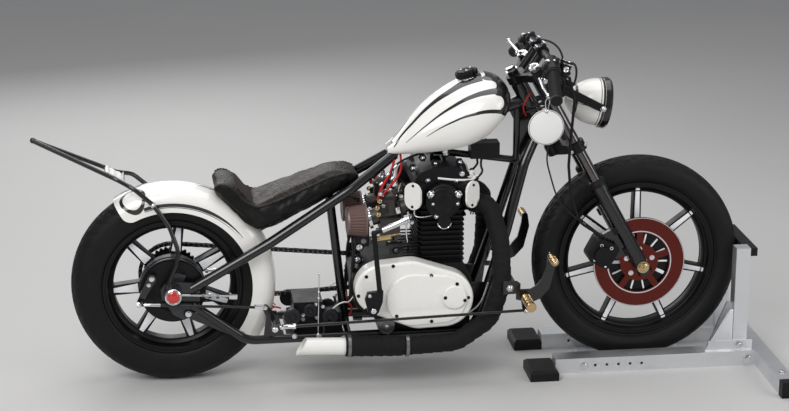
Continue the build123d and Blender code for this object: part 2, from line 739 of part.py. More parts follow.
def lamp_turned(outline):
    """An outline in radius and distance ahead of the rim, turned about the lamp's axis."""
    plane = lamp_plane()
    upright = Plane(origin=plane.origin, x_dir=(0, 1, 0), z_dir=plane.x_dir.cross(plane.z_dir))
    face = upright * outline
    return revolve(face, axis=Axis(plane.origin, plane.z_dir), revolution_arc=360)


def headlight_shell():
    """Bullet shell, open at the front."""
    outer = [Line((0, -LAMP_LEN), (14, -LAMP_LEN)),
             ThreePointArc((14, -LAMP_LEN), (58, -LAMP_LEN + 42), (LAMP_R - 4, -LAMP_RIM))]
    wall = LAMP_WALL
    face = make_face([
        *outer,
        Line((LAMP_R - 4, -LAMP_RIM), (LAMP_R - 4 - wall, -LAMP_RIM)),
        ThreePointArc((LAMP_R - 4 - wall, -LAMP_RIM), (58 - 1.5 * wall, -LAMP_LEN + 42 + wall),
                      (14, -LAMP_LEN + 2 * wall)),
        Line((14, -LAMP_LEN + 2 * wall), (0, -LAMP_LEN + 2 * wall)),
        Line((0, -LAMP_LEN + 2 * wall), (0, -LAMP_LEN)),
    ])
    return lamp_turned(face)


def headlight_rim():
    """Black rim that holds the glass."""
    face = polygon((LAMP_R - 12, -LAMP_RIM), (LAMP_R, -LAMP_RIM), (LAMP_R + 2, -6), (LAMP_R - 2, 2),
                   (LAMP_R - 10, 2), (LAMP_R - 10, -6), (LAMP_R - 12, -6))
    return lamp_turned(face)


def headlight_glass():
    """Domed glass in the rim."""
    edge, seat, crown = LAMP_R - 10.0, -1.0, 11.0
    rise = crown - seat
    dome_r = (edge ** 2 + rise ** 2) / (2 * rise)
    half_turn = asin(edge / dome_r) / 2
    middle = (dome_r * sin(half_turn), crown - dome_r + dome_r * cos(half_turn))
    face = make_face([
        Line((0, seat - 5), (edge, seat - 5)),
        Line((edge, seat - 5), (edge, seat)),
        ThreePointArc((edge, seat), middle, (0, crown)),
        Line((0, crown), (0, seat - 5)),
    ])
    return lamp_turned(face)


def headlight_arms():
    """Side arms from the fork legs to the lamp's side bolts."""
    arms = []
    plane = lamp_plane(LAMP_RIM + 2)
    bolt_x, bolt_z = plane.origin.X, plane.origin.Z
    for side in LEFT_AND_RIGHT:
        root = fork_point(UPPER_YOKE - 33, 12)
        knee = fork_point(UPPER_YOKE - 41, 30)
        arm = side_plate(polygon((root.X - 4, root.Z + 12), (knee.X + 10, knee.Z + 8), (bolt_x + 2, bolt_z + 9),
                                 (bolt_x + 2, bolt_z - 9), (bolt_x - 20, bolt_z - 7), (knee.X - 8, knee.Z - 16),
                                 (root.X - 2, root.Z - 12)), side * (LAMP_R + 8), side * (LAMP_R + 13))
        clamp = fork_plane(UPPER_YOKE - 54, 0, side * FORK_HALF) * Cylinder(FORK_TUBE_R + 7, 38, align=BOTTOM)
        boss = cross_rod(bolt_x - 8, bolt_z, side * (LAMP_R - 5), side * (LAMP_R + 14), 7)
        whole = arm + clamp + boss
        whole -= fork_plane(UPPER_YOKE - 109, 0, side * FORK_HALF) * Cylinder(FORK_TUBE_R, 200, align=BOTTOM)
        arms.append(whole)
    shell = headlight_shell() + headlight_rim()
    return [arm - shell for arm in arms]


def brake_hose():
    """Hydraulic hose from the reservoir to the caliper."""
    place = bar_point(-GRIP_INNER + 53)
    turn = radians(CALIPER_ANGLE)
    x, z = WHEELBASE + CALIPER_R * cos(turn), FRONT_AXLE_Z + CALIPER_R * sin(turn)
    start = (place.X + 54, place.Y - 7, place.Z - 46)
    route = ((248, -176, 905), (250, -150, 800), (254, -140, 690), (244, -136, 590), (212, -128, 500))
    points = [start] + [(WHEELBASE - back, y, height) for back, y, height in route] + [(x - 8, -118, z + 58)]
    return bent_tube(points, [40, 90, 90, 90, 70], 4.5) - brake_master()


# Frame

def neck_solid():
    """The head tube without its bore."""
    return fork_plane(NECK_BOTTOM, -FORK_OFFSET) * Cylinder(NECK_R, NECK_TOP - NECK_BOTTOM, align=BOTTOM)


def backbone(radius, rear):
    """Backbone tube from the head tube to its rear end, with a knee."""
    tube = rod(tuple(steering_point(640)), BACKBONE_KNEE, radius) + rod(BACKBONE_KNEE, rear, radius)
    return tube + Pos(*BACKBONE_KNEE) * Sphere(radius)


def frame_spine():
    """Head tube, backbone, gussets and the triangle below the backbone."""
    spine = neck_solid()
    spine += backbone(BACKBONE_R, BACKBONE_REAR)
    brace_front, brace_rear = (HEAD_POST_X, 0, 676), (BACKBONE_KNEE[0], 0, 726)
    spine += rod(brace_front, (HEAD_POST_X, 0, 850), 11)
    spine += rod(brace_front, brace_rear, 11)
    for x in (CYL_X - 25, CYL_X + 14):
        spine += block((x, x + 11), (-22, 22), (ROCKER_TOP, 721))
    upper, lower = steering_point(668), steering_point(575)
    gusset = polygon((upper.X, upper.Z), (lower.X, lower.Z), (HEAD_POST_X - 6, 800), (HEAD_POST_X - 26, 840),
                     (HEAD_POST_X - 56, 858))
    spine += side_plate(gusset, -5, 5)
    bore = fork_plane(NECK_BOTTOM - 20, -FORK_OFFSET) * Cylinder(STEM_R + SHAFT_CLEAR, 400, align=BOTTOM)
    return spine - bore


def downtube_points():
    """Route of the left downtube, from the head tube to the lower rail."""
    knee_x, foot_x = HEAD_POST_X + 16, 952
    return [(HEAD_POST_X + 72, 16, 790), (knee_x, 52, 680), (knee_x + 0.375 * (foot_x - knee_x), 82, 470),
            (foot_x, 100, LOWER_RAIL_Z + 4), (900, 102, LOWER_RAIL_Z)]


def downtube_x(z):
    """The x place of the downtube at a height between its knee and its foot."""
    knee, foot = downtube_points()[2], downtube_points()[3]
    share = (knee[2] - z) / (knee[2] - foot[2])
    return knee[0] + share * (foot[0] - knee[0])


def frame_downtubes():
    """Twin downtubes from the head tube to the ends of the lower rails."""
    tube = bent_tube(downtube_points(), [120, 160, 60], DOWNTUBE_R)
    mount = side_plate(polygon((936, 196), (1000, 190), (1016, 300), (936, 306)), 88, 96)
    tube += mount
    for solid in (frame_spine(), neck_solid(), frame_lower_rails(), engine_cases(), mirrored(engine_cases())):
        tube -= solid
    return pair(tube)


def frame_lower_rails():
    """Twin lower rails from the downtubes back to the axle plates, with their cross tubes."""
    points = [(900, 102, LOWER_RAIL_Z), (620, 106, LOWER_RAIL_Z), (226, RAIL_Y, LOWER_RAIL_Z), (58, RAIL_Y, 276)]
    rail = bent_tube(points, [400, 90], TUBE_R)
    rail -= frame_axle_plate()
    for x in (548, 890):
        rail += cross_rod(x, LOWER_RAIL_Z, 0, 104, 11)
    rail += exhaust_bracket()
    return rail + stand_bracket() + mirrored(rail) + crank_bracket()


def upper_rail(radius):
    """The left upper rail, from the axle plate to the backbone."""
    points = [(58, RAIL_Y, 327), (304, UPPER_KNEE_Y, 464), (560, 78, 620), (704, 26, 714)]
    return bent_tube(points, [400, 200], radius)


def frame_upper_rails():
    """Twin upper rails from the backbone down to the axle plates."""
    rail = upper_rail(UPPER_RAIL_R) - frame_axle_plate()
    rails = rail + mirrored(rail)
    rails += cross_rod(500, 584, -82, 82, 11)
    return rails - frame_spine()


def frame_axle_plate():
    """Left axle plate with its slot closed by the axle."""
    outline = polygon((-34, REAR_AXLE_Z - 30), (36, REAR_AXLE_Z - 52), (82, REAR_AXLE_Z - 56),
                      (84, REAR_AXLE_Z + 30), (52, REAR_AXLE_Z + 34), (-20, REAR_AXLE_Z + 40),
                      (-38, REAR_AXLE_Z + 14))
    plate = side_plate(outline, RAIL_Y - AXLE_PLATE_T / 2, RAIL_Y + AXLE_PLATE_T / 2)
    return plate - cross_rod(0, REAR_AXLE_Z, 0, 200, REAR_AXLE_R)


def frame_axle_plates():
    """Both axle plates."""
    return pair(frame_axle_plate())


def frame_seat_post():
    """Upright tube behind the engine, between the lower cross tube and the seat cross tube."""
    post = rod((548, 0, LOWER_RAIL_Z), (500, 0, 584), TUBE_R)
    return post - frame_lower_rails() - frame_upper_rails()


def rear_axle():
    """Axle with its nut, round cap and the spacers inside the plates."""
    inner = RAIL_Y - AXLE_PLATE_T / 2
    outer = RAIL_Y + AXLE_PLATE_T / 2
    shaft = cross_rod(0, REAR_AXLE_Z, -outer - 12, outer + 12, REAR_AXLE_R)
    washer = cross_rod(0, REAR_AXLE_Z, outer, outer + 4, 22)
    nut = side_plate(Pos(0, REAR_AXLE_Z) * RegularPolygon(17, 6), outer + 4, outer + 18)
    near = cross_rod(0, REAR_AXLE_Z, -outer, -outer - 30, 25)
    spacer = cross_rod(0, REAR_AXLE_Z, CHAIN_Y + SPROCKET_T / 2 + 1, inner, 16)
    return shaft + washer + nut + near + spacer


def rear_brake_plate():
    """Backing plate of the drum, with the anchor boss and camshaft boss."""
    outer = -(RAIL_Y - AXLE_PLATE_T / 2)
    face = -72.0
    plate = cross_rod(0, REAR_AXLE_Z, face, -86, 103)
    plate += cross_rod(0, REAR_AXLE_Z, -86, outer, 34)
    plate += cross_rod(-64, REAR_AXLE_Z + 48, -86, -104, 15)
    plate += cross_rod(46, REAR_AXLE_Z - 76, -86, -94, 15)
    plate += turned(0, REAR_AXLE_Z, polygon((-90, 66), (-86, 66), (-86, 98), (-90, 98)))
    return plate - cross_rod(0, REAR_AXLE_Z, 0, -200, REAR_AXLE_R)


def brake_linkage():
    """Camshaft lever, torque arm, bell crank and the rods that pull the rear brake."""
    cam = (-64, REAR_AXLE_Z + 48)
    tip = (-104, REAR_AXLE_Z - 26)
    lever = side_plate(hull_outline(((cam[0], cam[1], 14), (tip[0], tip[1], 8))), -104, -112)
    pin = cross_rod(tip[0], tip[1], -112, -142, 5)
    pull = rod((tip[0], -137, tip[1]), (284, -137, 264), 4.5)
    crank = side_plate(hull_outline(((*CRANK_PIVOT, 15), (284, 264, 10))), -142, -132)
    shaft = cross_rod(*CRANK_PIVOT, -104, BRAKE_ROD_Y - 5, CRANK_PIVOT_R)
    outer_arm = side_plate(hull_outline(((*CRANK_PIVOT, 11), (328, 231, 8))), BRAKE_ROD_Y + 5, BRAKE_ROD_Y - 5)
    long_rod = rod((326, BRAKE_ROD_Y, 231), (364, BRAKE_ROD_Y, 232), 6)
    long_rod += rod((364, BRAKE_ROD_Y, 232), (BRAKE_PULL[0], BRAKE_ROD_Y, BRAKE_PULL[1]), 4.5)
    long_rod += cross_rod(*BRAKE_PULL, BRAKE_ROD_Y - 5, BRAKE_ROD_Y + 5, 9)
    long_rod -= cross_rod(*BRAKE_PULL, -300, 0, BRAKE_PIN_R)
    return [lever + pin + pull + crank + shaft + outer_arm + long_rod, torque_arm()]


def crank_bracket():
    """Plate on the right lower rail that carries the bell crank."""
    x, z = CRANK_PIVOT
    plate = side_plate(polygon((x - 17, z + 18), (x + 14, z + 18), (x + 40, LOWER_RAIL_Z), (x - 30, LOWER_RAIL_Z)),
                       -118, -110)
    return plate - cross_rod(x, z, -130, -90, CRANK_PIVOT_R)


def torque_arm():
    """Flat arm from the backing plate's anchor to the lower rail."""
    arm = side_plate(hull_outline(((46, REAR_AXLE_Z - 76, 12), (212, 160, 12))), -99, -94)
    stub = cross_rod(212, 160, -99, -RAIL_Y + 6, 6)
    return (arm + stub) - frame_lower_rails()


# Engine

def engine_cases():
    """Crankcase and gearbox, narrower on the left where the drive sprocket runs."""
    upper = side_plate(polygon((566, 250), (690, 170), (930, 170), (936, 330), (905, 384), (700, 384), (600, 384),
                               (560, 352)), -CASE_HALF, CASE_LEFT)
    front_left = side_plate(polygon((694, 190), (926, 190), (932, 330), (905, 384), (694, 384)),
                            CASE_LEFT, LEFT_FACE)
    sump = block((650, 870), (-84, 84), (136, 176))
    shaft = cross_rod(DRIVE_X, DRIVE_Z, CASE_LEFT, CHAIN_Y + 12, 13)
    return upper + front_left + sump + shaft + drive_sprocket()


def right_cover_outline():
    """Outline of the right cover, drawn round its four lobes."""
    outline = polygon(*[(x, z) for x, z, _ in COVER_LOBES])
    for number in range(len(COVER_LOBES)):
        outline += hull_outline((COVER_LOBES[number - 1], COVER_LOBES[number]))
    return outline


def left_cover_outline(inset=0.0):
    """Outline of the left cover, round the crankshaft and the gearbox."""
    return hull_outline(((CRANK_X, CRANK_Z, CRANK_COVER_R - inset), (CLUTCH_X, CLUTCH_Z, CLUTCH_COVER_R - inset)))


def right_cover():
    """Smooth clutch-side cover with a raised oval and a round filter boss."""
    outer = -CASE_HALF - RIGHT_COVER_T
    shell = side_plate(right_cover_outline(), -CASE_HALF, outer)
    shell = fillet(shell.faces().sort_by(Axis.Y)[0].edges(), 10)
    raised = side_plate(hull_outline(((742, 285, 84), (835, 284, 78))), outer + 12, outer - 7)
    raised = fillet(raised.faces().sort_by(Axis.Y)[0].edges(), 5)
    boss = cross_rod(872, 291, outer - 7, outer - 14, 38)
    boss = fillet(boss.faces().sort_by(Axis.Y)[0].edges(), 4)
    return shell + raised + boss


def left_cover():
    """Alternator-side cover over the drive sprocket."""
    outer = LEFT_FACE + LEFT_COVER_T
    shell = side_plate(left_cover_outline(4), LEFT_FACE, outer)
    shell = fillet(shell.faces().sort_by(Axis.Y)[-1].edges(), 12)
    dome = cross_rod(CRANK_X, CRANK_Z - 4, outer, outer + 12, 78)
    dome = fillet(dome.faces().sort_by(Axis.Y)[-1].edges(), 8)
    return shell + dome


def finned_block(x, length, half, low, high, fins, core_inset):
    """A block of cooling fins round a core."""
    core = block((x - length / 2 + core_inset, x + length / 2 - core_inset),
                 (-half + core_inset, half - core_inset), (low, high))
    step = (high - low - FIN_T) / (fins - 1)
    for number in range(fins):
        z = low + number * step
        plate = Pos(x, 0, z) * extrude(RectangleRounded(length, 2 * half, 18), FIN_T)
        core += plate
    return core


def cylinders():
    """Twin cylinder block with horizontal fins."""
    return finned_block(CYL_X, CYL_LEN, CYL_HALF, CYL_BASE, CYL_TOP, CYL_FINS, 13)


def cylinder_head():
    """Finned head with the cam chain tunnel and exhaust and inlet ports."""
    head = finned_block(CYL_X, HEAD_LEN - 34, HEAD_HALF, CYL_TOP, HEAD_TOP, 6, 14)
    for side in LEFT_AND_RIGHT:
        y = side * PORT_HALF
        head += rod((CYL_X + 60, y, PORT_Z), (CYL_X + 104, y, PORT_Z - 8), 30)
        head += rod((CYL_X - 60, y, PORT_Z - 2), (CYL_X - 98, y, PORT_Z - 14), 27)
    for corner in rocker_ovals(-62, -CAP_T):
        head += corner
    for cover in points_cover():
        head -= cover
    return head - rocker_box()


def rocker_box():
    """Cast rocker cover with four sloping faces for the oval caps."""
    half_low, half_high = HEAD_LEN / 2, 66.0
    section = polygon((CYL_X - half_low + 4, HEAD_TOP), (CYL_X + half_low - 4, HEAD_TOP),
                      (CYL_X + half_low - 10, HEAD_TOP + 24), (CYL_X + half_high, ROCKER_TOP - 14),
                      (CYL_X + 26, ROCKER_TOP), (CYL_X - 26, ROCKER_TOP), (CYL_X - half_high, ROCKER_TOP - 14),
                      (CYL_X - half_low + 10, HEAD_TOP + 24))
    box = side_plate(section, -HEAD_HALF + 10, HEAD_HALF - 10)
    box = fillet(box.edges().filter_by(Axis.Y), 6)
    return box - block((CYL_X - 12, CYL_X + 12), (-30, 30), (ROCKER_TOP - 12, ROCKER_TOP + 1))


def rocker_ovals(start, end):
    """Upright ovals across the head's four corners, between two distances from the caps' faces."""
    ovals = []
    for x, lean in ((CYL_X - 94, -1), (CYL_X + 95, 1)):
        facing = Vector(lean * sin(CAP_TURN), -cos(CAP_TURN), 0)
        plane = Plane(origin=Vector(x, -HEAD_HALF - 8, CAP_Z) + facing * start, x_dir=(0, 0, 1), z_dir=facing)
        oval = extrude(plane * SlotCenterToCenter(CAP_H - 2 * CAP_HALF_W, 2 * CAP_HALF_W), end - start)
        ovals += pair(oval)
    return ovals


def rocker_caps():
    """Oval caps over the rocker ends, at the four corners of the head."""
    return [cap - rocker_box() for cap in rocker_ovals(-CAP_T, 2)]


def points_cover():
    """Round covers on both sides of the head, over the cam ends."""
    seat = HEAD_HALF
    cover = cross_rod(CYL_X, POINTS_Z, -seat, -seat - 24, POINTS_R)
    cover = fillet(cover.faces().sort_by(Axis.Y)[0].edges(), 6)
    far = cross_rod(CYL_X, POINTS_Z, seat, seat + 16, POINTS_R - 6)
    far = fillet(far.faces().sort_by(Axis.Y)[-1].edges(), 5)
    return [cover, far]


def carburettors():
    """Two carburettors behind the head, with domed tops and float bowls."""
    port, mouth = (CYL_X - 98, PORT_HALF, PORT_Z - 14), (POD_X, PORT_HALF, POD_Z + 4)
    carb_x = (port[0] + mouth[0]) / 2 + 4
    body = rod(port, mouth, 26)
    top = rod((carb_x, PORT_HALF, 540), (carb_x, PORT_HALF, 602), 31)
    top += Pos(carb_x, PORT_HALF, 602) * Cone(31, 20, 10, align=BOTTOM)
    bowl = block((carb_x - 30, carb_x + 32), (PORT_HALF - 28, PORT_HALF + 28), (468, 530))
    bowl += rod((carb_x, PORT_HALF, 452), (carb_x, PORT_HALF, 470), 18)
    return pair(body + top + bowl - cylinder_head())


def air_filters():
    """Tapered pod filters behind the carburettors."""
    pod = Plane(origin=(POD_X, PORT_HALF, POD_Z), z_dir=(-1, 0, 0)) * Cone(52, 43, 60, align=BOTTOM)
    return pair(pod - carburettors()[0])


def drive_sprocket():
    """Small sprocket on the gearbox shaft."""
    pitch_r = CHAIN_PITCH / (2 * sin(pi / DRIVE_TEETH))
    return toothed_wheel(DRIVE_X, DRIVE_Z, pitch_r, DRIVE_TEETH, 13)


def exhaust_route():
    """Points of the right pipe, from the head port to the end of the wrap."""
    return [(CYL_X + 104, -PORT_HALF, PORT_Z - 8), (1000, -88, 558), (1023, -150, 450), (1024, -184, 330),
            (985, -PIPE_Y, 214), (880, -PIPE_Y, 142), (740, -PIPE_Y, 136), (690, -PIPE_Y, 138)]


def muffler_ends():
    """Front and rear ends of the fat part of the right pipe."""
    return Vector(720, -PIPE_Y, 136.5), Vector(528, -PIPE_Y, 144)


def exhaust_pipe():
    """Wrapped pipe from the port forward, down and back beside the engine, with the fat rear part."""
    pipe = bent_tube(exhaust_route(), [50, 70, 90, 90, 90, 60], PIPE_R)
    start, end = muffler_ends()
    along = Plane(origin=start, z_dir=end - start)
    neck_length = 26.0
    neck = along * Cone(PIPE_R + 2, MUFFLER_R, neck_length, align=BOTTOM)
    barrel = along * Pos(0, 0, neck_length) * Cylinder(MUFFLER_R, (end - start).length - neck_length, align=BOTTOM)
    return pipe + (neck + barrel) - cylinder_head()


def exhaust_pipes():
    """Both wrapped pipes."""
    return pair(exhaust_pipe())


def exhaust_tips():
    """Slash-cut ends, open at the rear."""
    front, start = muffler_ends()
    end = start + (start - front)
    tube = rod(start, end, TIP_R) - rod(start + Vector(-20, 0, 0), end + Vector(-5, 0, 0), TIP_R - TIP_WALL)
    cutter = side_plate(polygon((300, 90), (352, 90), (424, 200), (300, 220)), -PIPE_Y - 60, -PIPE_Y + 60)
    return pair(tube - cutter)


def exhaust_bracket():
    """Lug that carries the fat part of the left pipe from its lower rail."""
    lug = block((612, 628), (112, PIPE_Y), (143, 151))
    return lug - mirrored(exhaust_pipe())


# Bodywork

def tank_section(x, half, low, high):
    """A section of the tank: flat below, full at the sides and crowned on top."""
    plane = Plane(origin=(x, 0, 0), x_dir=(0, 1, 0), z_dir=(1, 0, 0))
    tall = high - low
    foot, waist, shoulder = 0.72 * half, low + 0.4 * tall, low + 0.82 * tall
    edge = 0.62 * half
    return plane * make_face([
        Line((-foot, low), (foot, low)),
        ThreePointArc((foot, low), (half, waist), (edge, shoulder)),
        ThreePointArc((edge, shoulder), (0, high), (-edge, shoulder)),
        ThreePointArc((-edge, shoulder), (-half, waist), (-foot, low)),
    ])


def tank_x(share):
    """The x place at a share of the tank's length from its rear end."""
    return TANK_REAR + share * (TANK_FRONT - TANK_REAR)


def fuel_tank():
    """Teardrop tank over the backbone."""
    # share of the length from the rear, half width, lowest z, highest z
    sections = ((0.0, 34, 716, 740), (0.1, 62, 720, 778), (0.31, 96, 728, 872), (0.571, 126, 746, 940),
                (0.793, TANK_HALF, 784, 964), (0.937, 112, 832, 944), (1.0, 62, 868, 912))
    body = loft([tank_section(tank_x(share), half, low, high) for share, half, low, high in sections])
    rear_end = Vector(*BACKBONE_REAR) * 2 - Vector(*BACKBONE_KNEE)
    tunnel = backbone(BACKBONE_R + SEAT_CLEAR, tuple(rear_end))
    neck_space = fork_plane(NECK_BOTTOM, -FORK_OFFSET) * Cylinder(NECK_R + 8, 400, align=BOTTOM)
    for rail in pair(upper_rail(UPPER_RAIL_R + SEAT_CLEAR)):
        tunnel += rail
    groove_x = (TANK_REAR - 22, TANK_FRONT + 16)
    cut_down = block(groove_x, (-BACKBONE_R - SEAT_CLEAR, BACKBONE_R + SEAT_CLEAR), (650, BACKBONE_KNEE[2]))
    return body - tunnel - neck_space - cut_down


def tank_cap():
    """Round filler cap on the crown of the tank."""
    place = Plane(origin=(tank_x(0.662), 0, 949), z_dir=(-0.24, 0, 1))
    cap = place * Cylinder(33, 20, align=BOTTOM) + place * Pos(0, 0, 20) * Cylinder(28, 4, align=BOTTOM)
    return cap - fuel_tank()


def seat():
    """Low pad along the rails, dipping and then rising over the fender."""
    front = make_face([
        Line((596, 650), (600, 664)),
        ThreePointArc((600, 664), (560, 684), (500, 672)),
        Line((500, 672), (330, 606)),
        Line((330, 606), (262, 574)),
        Line((262, 574), (228, 600)),
        Line((228, 600), (190, 650)),
        ThreePointArc((190, 650), (160, 668), (128, 646)),
        Line((128, 646), (172, 594)),
        Line((172, 594), (214, 552)),
        Line((214, 552), (262, 498)),
        Line((262, 498), (330, 520)),
        Line((330, 520), (596, 650)),
    ])
    return front


def seat_pad():
    """The seat as one soft pad, seated on the upper rails and clear of the fender."""
    pad = side_plate(seat(), -118, 118)
    pad = fillet(pad.edges().filter_by(Axis.Y).sort_by(Axis.Z)[-3:], 8)
    fender_space = cross_rod(0, REAR_AXLE_Z, -90, 90, FENDER_IN_R + FENDER_T + SEAT_CLEAR)
    pad -= fender_space
    for rail in pair(upper_rail(UPPER_RAIL_R + SEAT_CLEAR)):
        pad -= rail
    pad -= cross_rod(500, 584, -82, 82, 11 + SEAT_CLEAR)
    return pad


def rear_fender():
    """Fender bent round the rear tyre, open below."""
    outer_r = FENDER_IN_R + FENDER_T
    half, t = FENDER_HALF, FENDER_T
    section = make_face([
        Line((-half, FENDER_SKIRT_R), (-half, outer_r - 42)),
        ThreePointArc((-half, outer_r - 42), (-half * 0.76, outer_r - 13), (-half * 0.4, outer_r - 3)),
        ThreePointArc((-half * 0.4, outer_r - 3), (0, outer_r), (half * 0.4, outer_r - 3)),
        ThreePointArc((half * 0.4, outer_r - 3), (half * 0.76, outer_r - 13), (half, outer_r - 42)),
        Line((half, outer_r - 42), (half, FENDER_SKIRT_R)),
        Line((half, FENDER_SKIRT_R), (half - t, FENDER_SKIRT_R)),
        Line((half - t, FENDER_SKIRT_R), (half - t, outer_r - 43)),
        ThreePointArc((half - t, outer_r - 43), (half * 0.74, outer_r - 17), (half * 0.38, outer_r - 6)),
        ThreePointArc((half * 0.38, outer_r - 6), (0, outer_r - t), (-half * 0.38, outer_r - 6)),
        ThreePointArc((-half * 0.38, outer_r - 6), (-half * 0.74, outer_r - 17), (-half + t, outer_r - 43)),
        Line((-half + t, outer_r - 43), (-half + t, FENDER_SKIRT_R)),
        Line((-half + t, FENDER_SKIRT_R), (-half, FENDER_SKIRT_R)),
    ])
    start = radians(FENDER_FRONT)
    plane = Plane(origin=(0, 0, REAR_AXLE_Z), x_dir=(0, 1, 0), z_dir=(sin(start), 0, -cos(start)))
    turn_axis = Axis((0, 0, REAR_AXLE_Z), (0, -1, 0))
    shell = revolve(plane * section, axis=turn_axis, revolution_arc=FENDER_REAR - FENDER_FRONT)
    tail_corners = shell.edges().filter_by(Axis.Y).sort_by(Axis.X)[:2]
    return fillet(tail_corners, FENDER_TAIL_R)


def sissy_bar():
    """Two rods from the axle plates up past the fender, meeting in a point behind."""
    foot_y = RAIL_Y + AXLE_PLATE_T / 2 + SISSY_R - 2
    points = [(-12, foot_y, 350), (12, 116, 414), (16, 101, 492), (-8, 94, 566), (-64, 88, 644), (-150, 70, 708),
              (-266, 42, 760), (-410, 4, 789)]
    side = bent_tube(points, [60, 120, 120, 120, 120, 160], SISSY_R)
    tip = Pos(-410, 0, 789) * Sphere(10)
    bars = side + mirrored(side) + tip
    bars += cross_rod(-64, 644, -90, 90, 5)
    bars += rod((-206, -52, 734), (-206, 52, 734), 5)
    for plate in frame_axle_plates():
        bars -= plate
    return bars + fender_stays()


def fender_stays():
    """Bolts that tie the fender to the bar and to the frame."""
    stay = cross_rod(-30, 597, FENDER_HALF, 94, 6)
    return stay + mirrored(stay)


# Controls

def kick_lever():
    """Kick lever on its shaft, with the pedal folded in."""
    face = -CASE_HALF - RIGHT_COVER_T
    y = face - KICK_OUT
    outer = y - KICK_BLOCK_HALF
    shaft = cross_rod(KICK_X, KICK_Z, face + 4, outer - 3, KICK_R)
    clamp = Pos(KICK_X, KICK_Z) * Circle(18)
    clamp += polygon((KICK_X - 17, KICK_Z - 4), (KICK_X + 16, KICK_Z - 8), (KICK_X + 29, KICK_Z + 26),
                     (KICK_X + 31, KICK_Z + 60), (KICK_X - 18, KICK_Z + 56), (KICK_X - 26, KICK_Z + 32))
    clamp = side_plate(clamp, outer, y + KICK_BLOCK_HALF)
    foot, top = (KICK_X + 21, y, KICK_Z + 50), (KICK_X + 3, y, KICK_Z + 246)
    arm = rod(foot, top, KICK_R - 1)
    pedal = rod(top, (KICK_X + 116, y + 4, KICK_Z + 288), KICK_R - 2) + Pos(*top) * Sphere(KICK_R)
    return (shaft + clamp + arm + pedal) - right_cover()


def forward_controls():
    """Mount plates, curved arms and pedals ahead of the engine."""
    inner, outer = -CONTROL_Y, -CONTROL_Y - CONTROL_T
    blade = polygon((1062, 316), (1108, 316), (1124, 326), (1146, 351), (1158, 400), (1160, 424), (1180, 424),
                    (1185, 388), (1167, 316), (1138, 284), (1110, 272), (1062, 284))
    arm = side_plate(blade, inner, outer)
    arm += cross_rod(1170, 424, inner, outer, 10)
    plate = side_plate(polygon((1020, 350), (1064, 346), (1074, 338), (1074, 306), (1020, 304)),
                       outer, outer - CONTROL_PLATE_T)
    bar = cross_rod(1071, 304, -CONTROL_Y - 2, 0, 9)
    stay = bar + rod((1071, -94, 304), (downtube_x(304), -92, 304), 8) - mirrored(frame_downtubes()[0])
    whole = arm + plate + stay
    lug = side_plate(hull_outline(((1092, 288, 15), (*BRAKE_PULL, 9))), inner, outer)
    pin = cross_rod(*BRAKE_PULL, outer, BRAKE_ROD_Y - 8, BRAKE_PIN_R)
    return whole + mirrored(whole) + lug + pin


def foot_pegs():
    """Turned brass pegs and pedal pads with rounded ends."""
    face = -CONTROL_Y - CONTROL_T
    peg = cross_rod(1092, 290, face, -314, 14)
    peg = fillet(peg.faces().sort_by(Axis.Y)[0].edges(), 9)
    pad = cross_rod(1170, 421, face, -288, 11)
    pad = fillet(pad.faces().sort_by(Axis.Y)[0].edges(), 8)
    return pair(peg) + pair(pad)


def electrics():
    """Battery box and relay tray between the engine and the rear wheel."""
    tray = block((352, 534), (-92, 92), (LOWER_RAIL_Z + 2, LOWER_RAIL_Z + 6))
    box = block((378, 470), (-70, 66), (LOWER_RAIL_Z + 6, 252))
    unit = block((478, 530), (-76, 10), (LOWER_RAIL_Z + 6, 216))
    return [tray + box + unit - frame_lower_rails() - frame_seat_post(), coil_box()]


def coil_box():
    """Ignition coils below the tank."""
    return block((HEAD_POST_X - 156, HEAD_POST_X - 64), (-62, -9), (700, 750)) - frame_spine()


def side_stand():
    """Folding stand, up along the left lower rail."""
    x, z, y = STAND_X, STAND_Z, STAND_Y
    leg = rod((x - 9, y, z), (x - STAND_LEN, y, z), STAND_LEG_R)
    foot = block((x - STAND_LEN - 22, x - STAND_LEN + 8), (y - 14, y + 14), (z - 11, z - 3))
    eye = cross_rod(x, z, y - STAND_EYE_HALF, y + STAND_EYE_HALF, 13)
    return (leg + foot + eye) - cross_rod(x, z, y - 40, y + 40, STAND_PIN_R + SHAFT_CLEAR)


def stand_bracket():
    """Lug below the left lower rail that carries the stand."""
    x, z = STAND_X, STAND_Z
    lug = side_plate(polygon((x - 18, z - 12), (x + 18, z - 12), (x + 24, z + 18), (x - 24, z + 18)), 100, 116)
    return lug + cross_rod(x, z, 114, STAND_Y + STAND_EYE_HALF + 2, STAND_PIN_R)


# Nodes

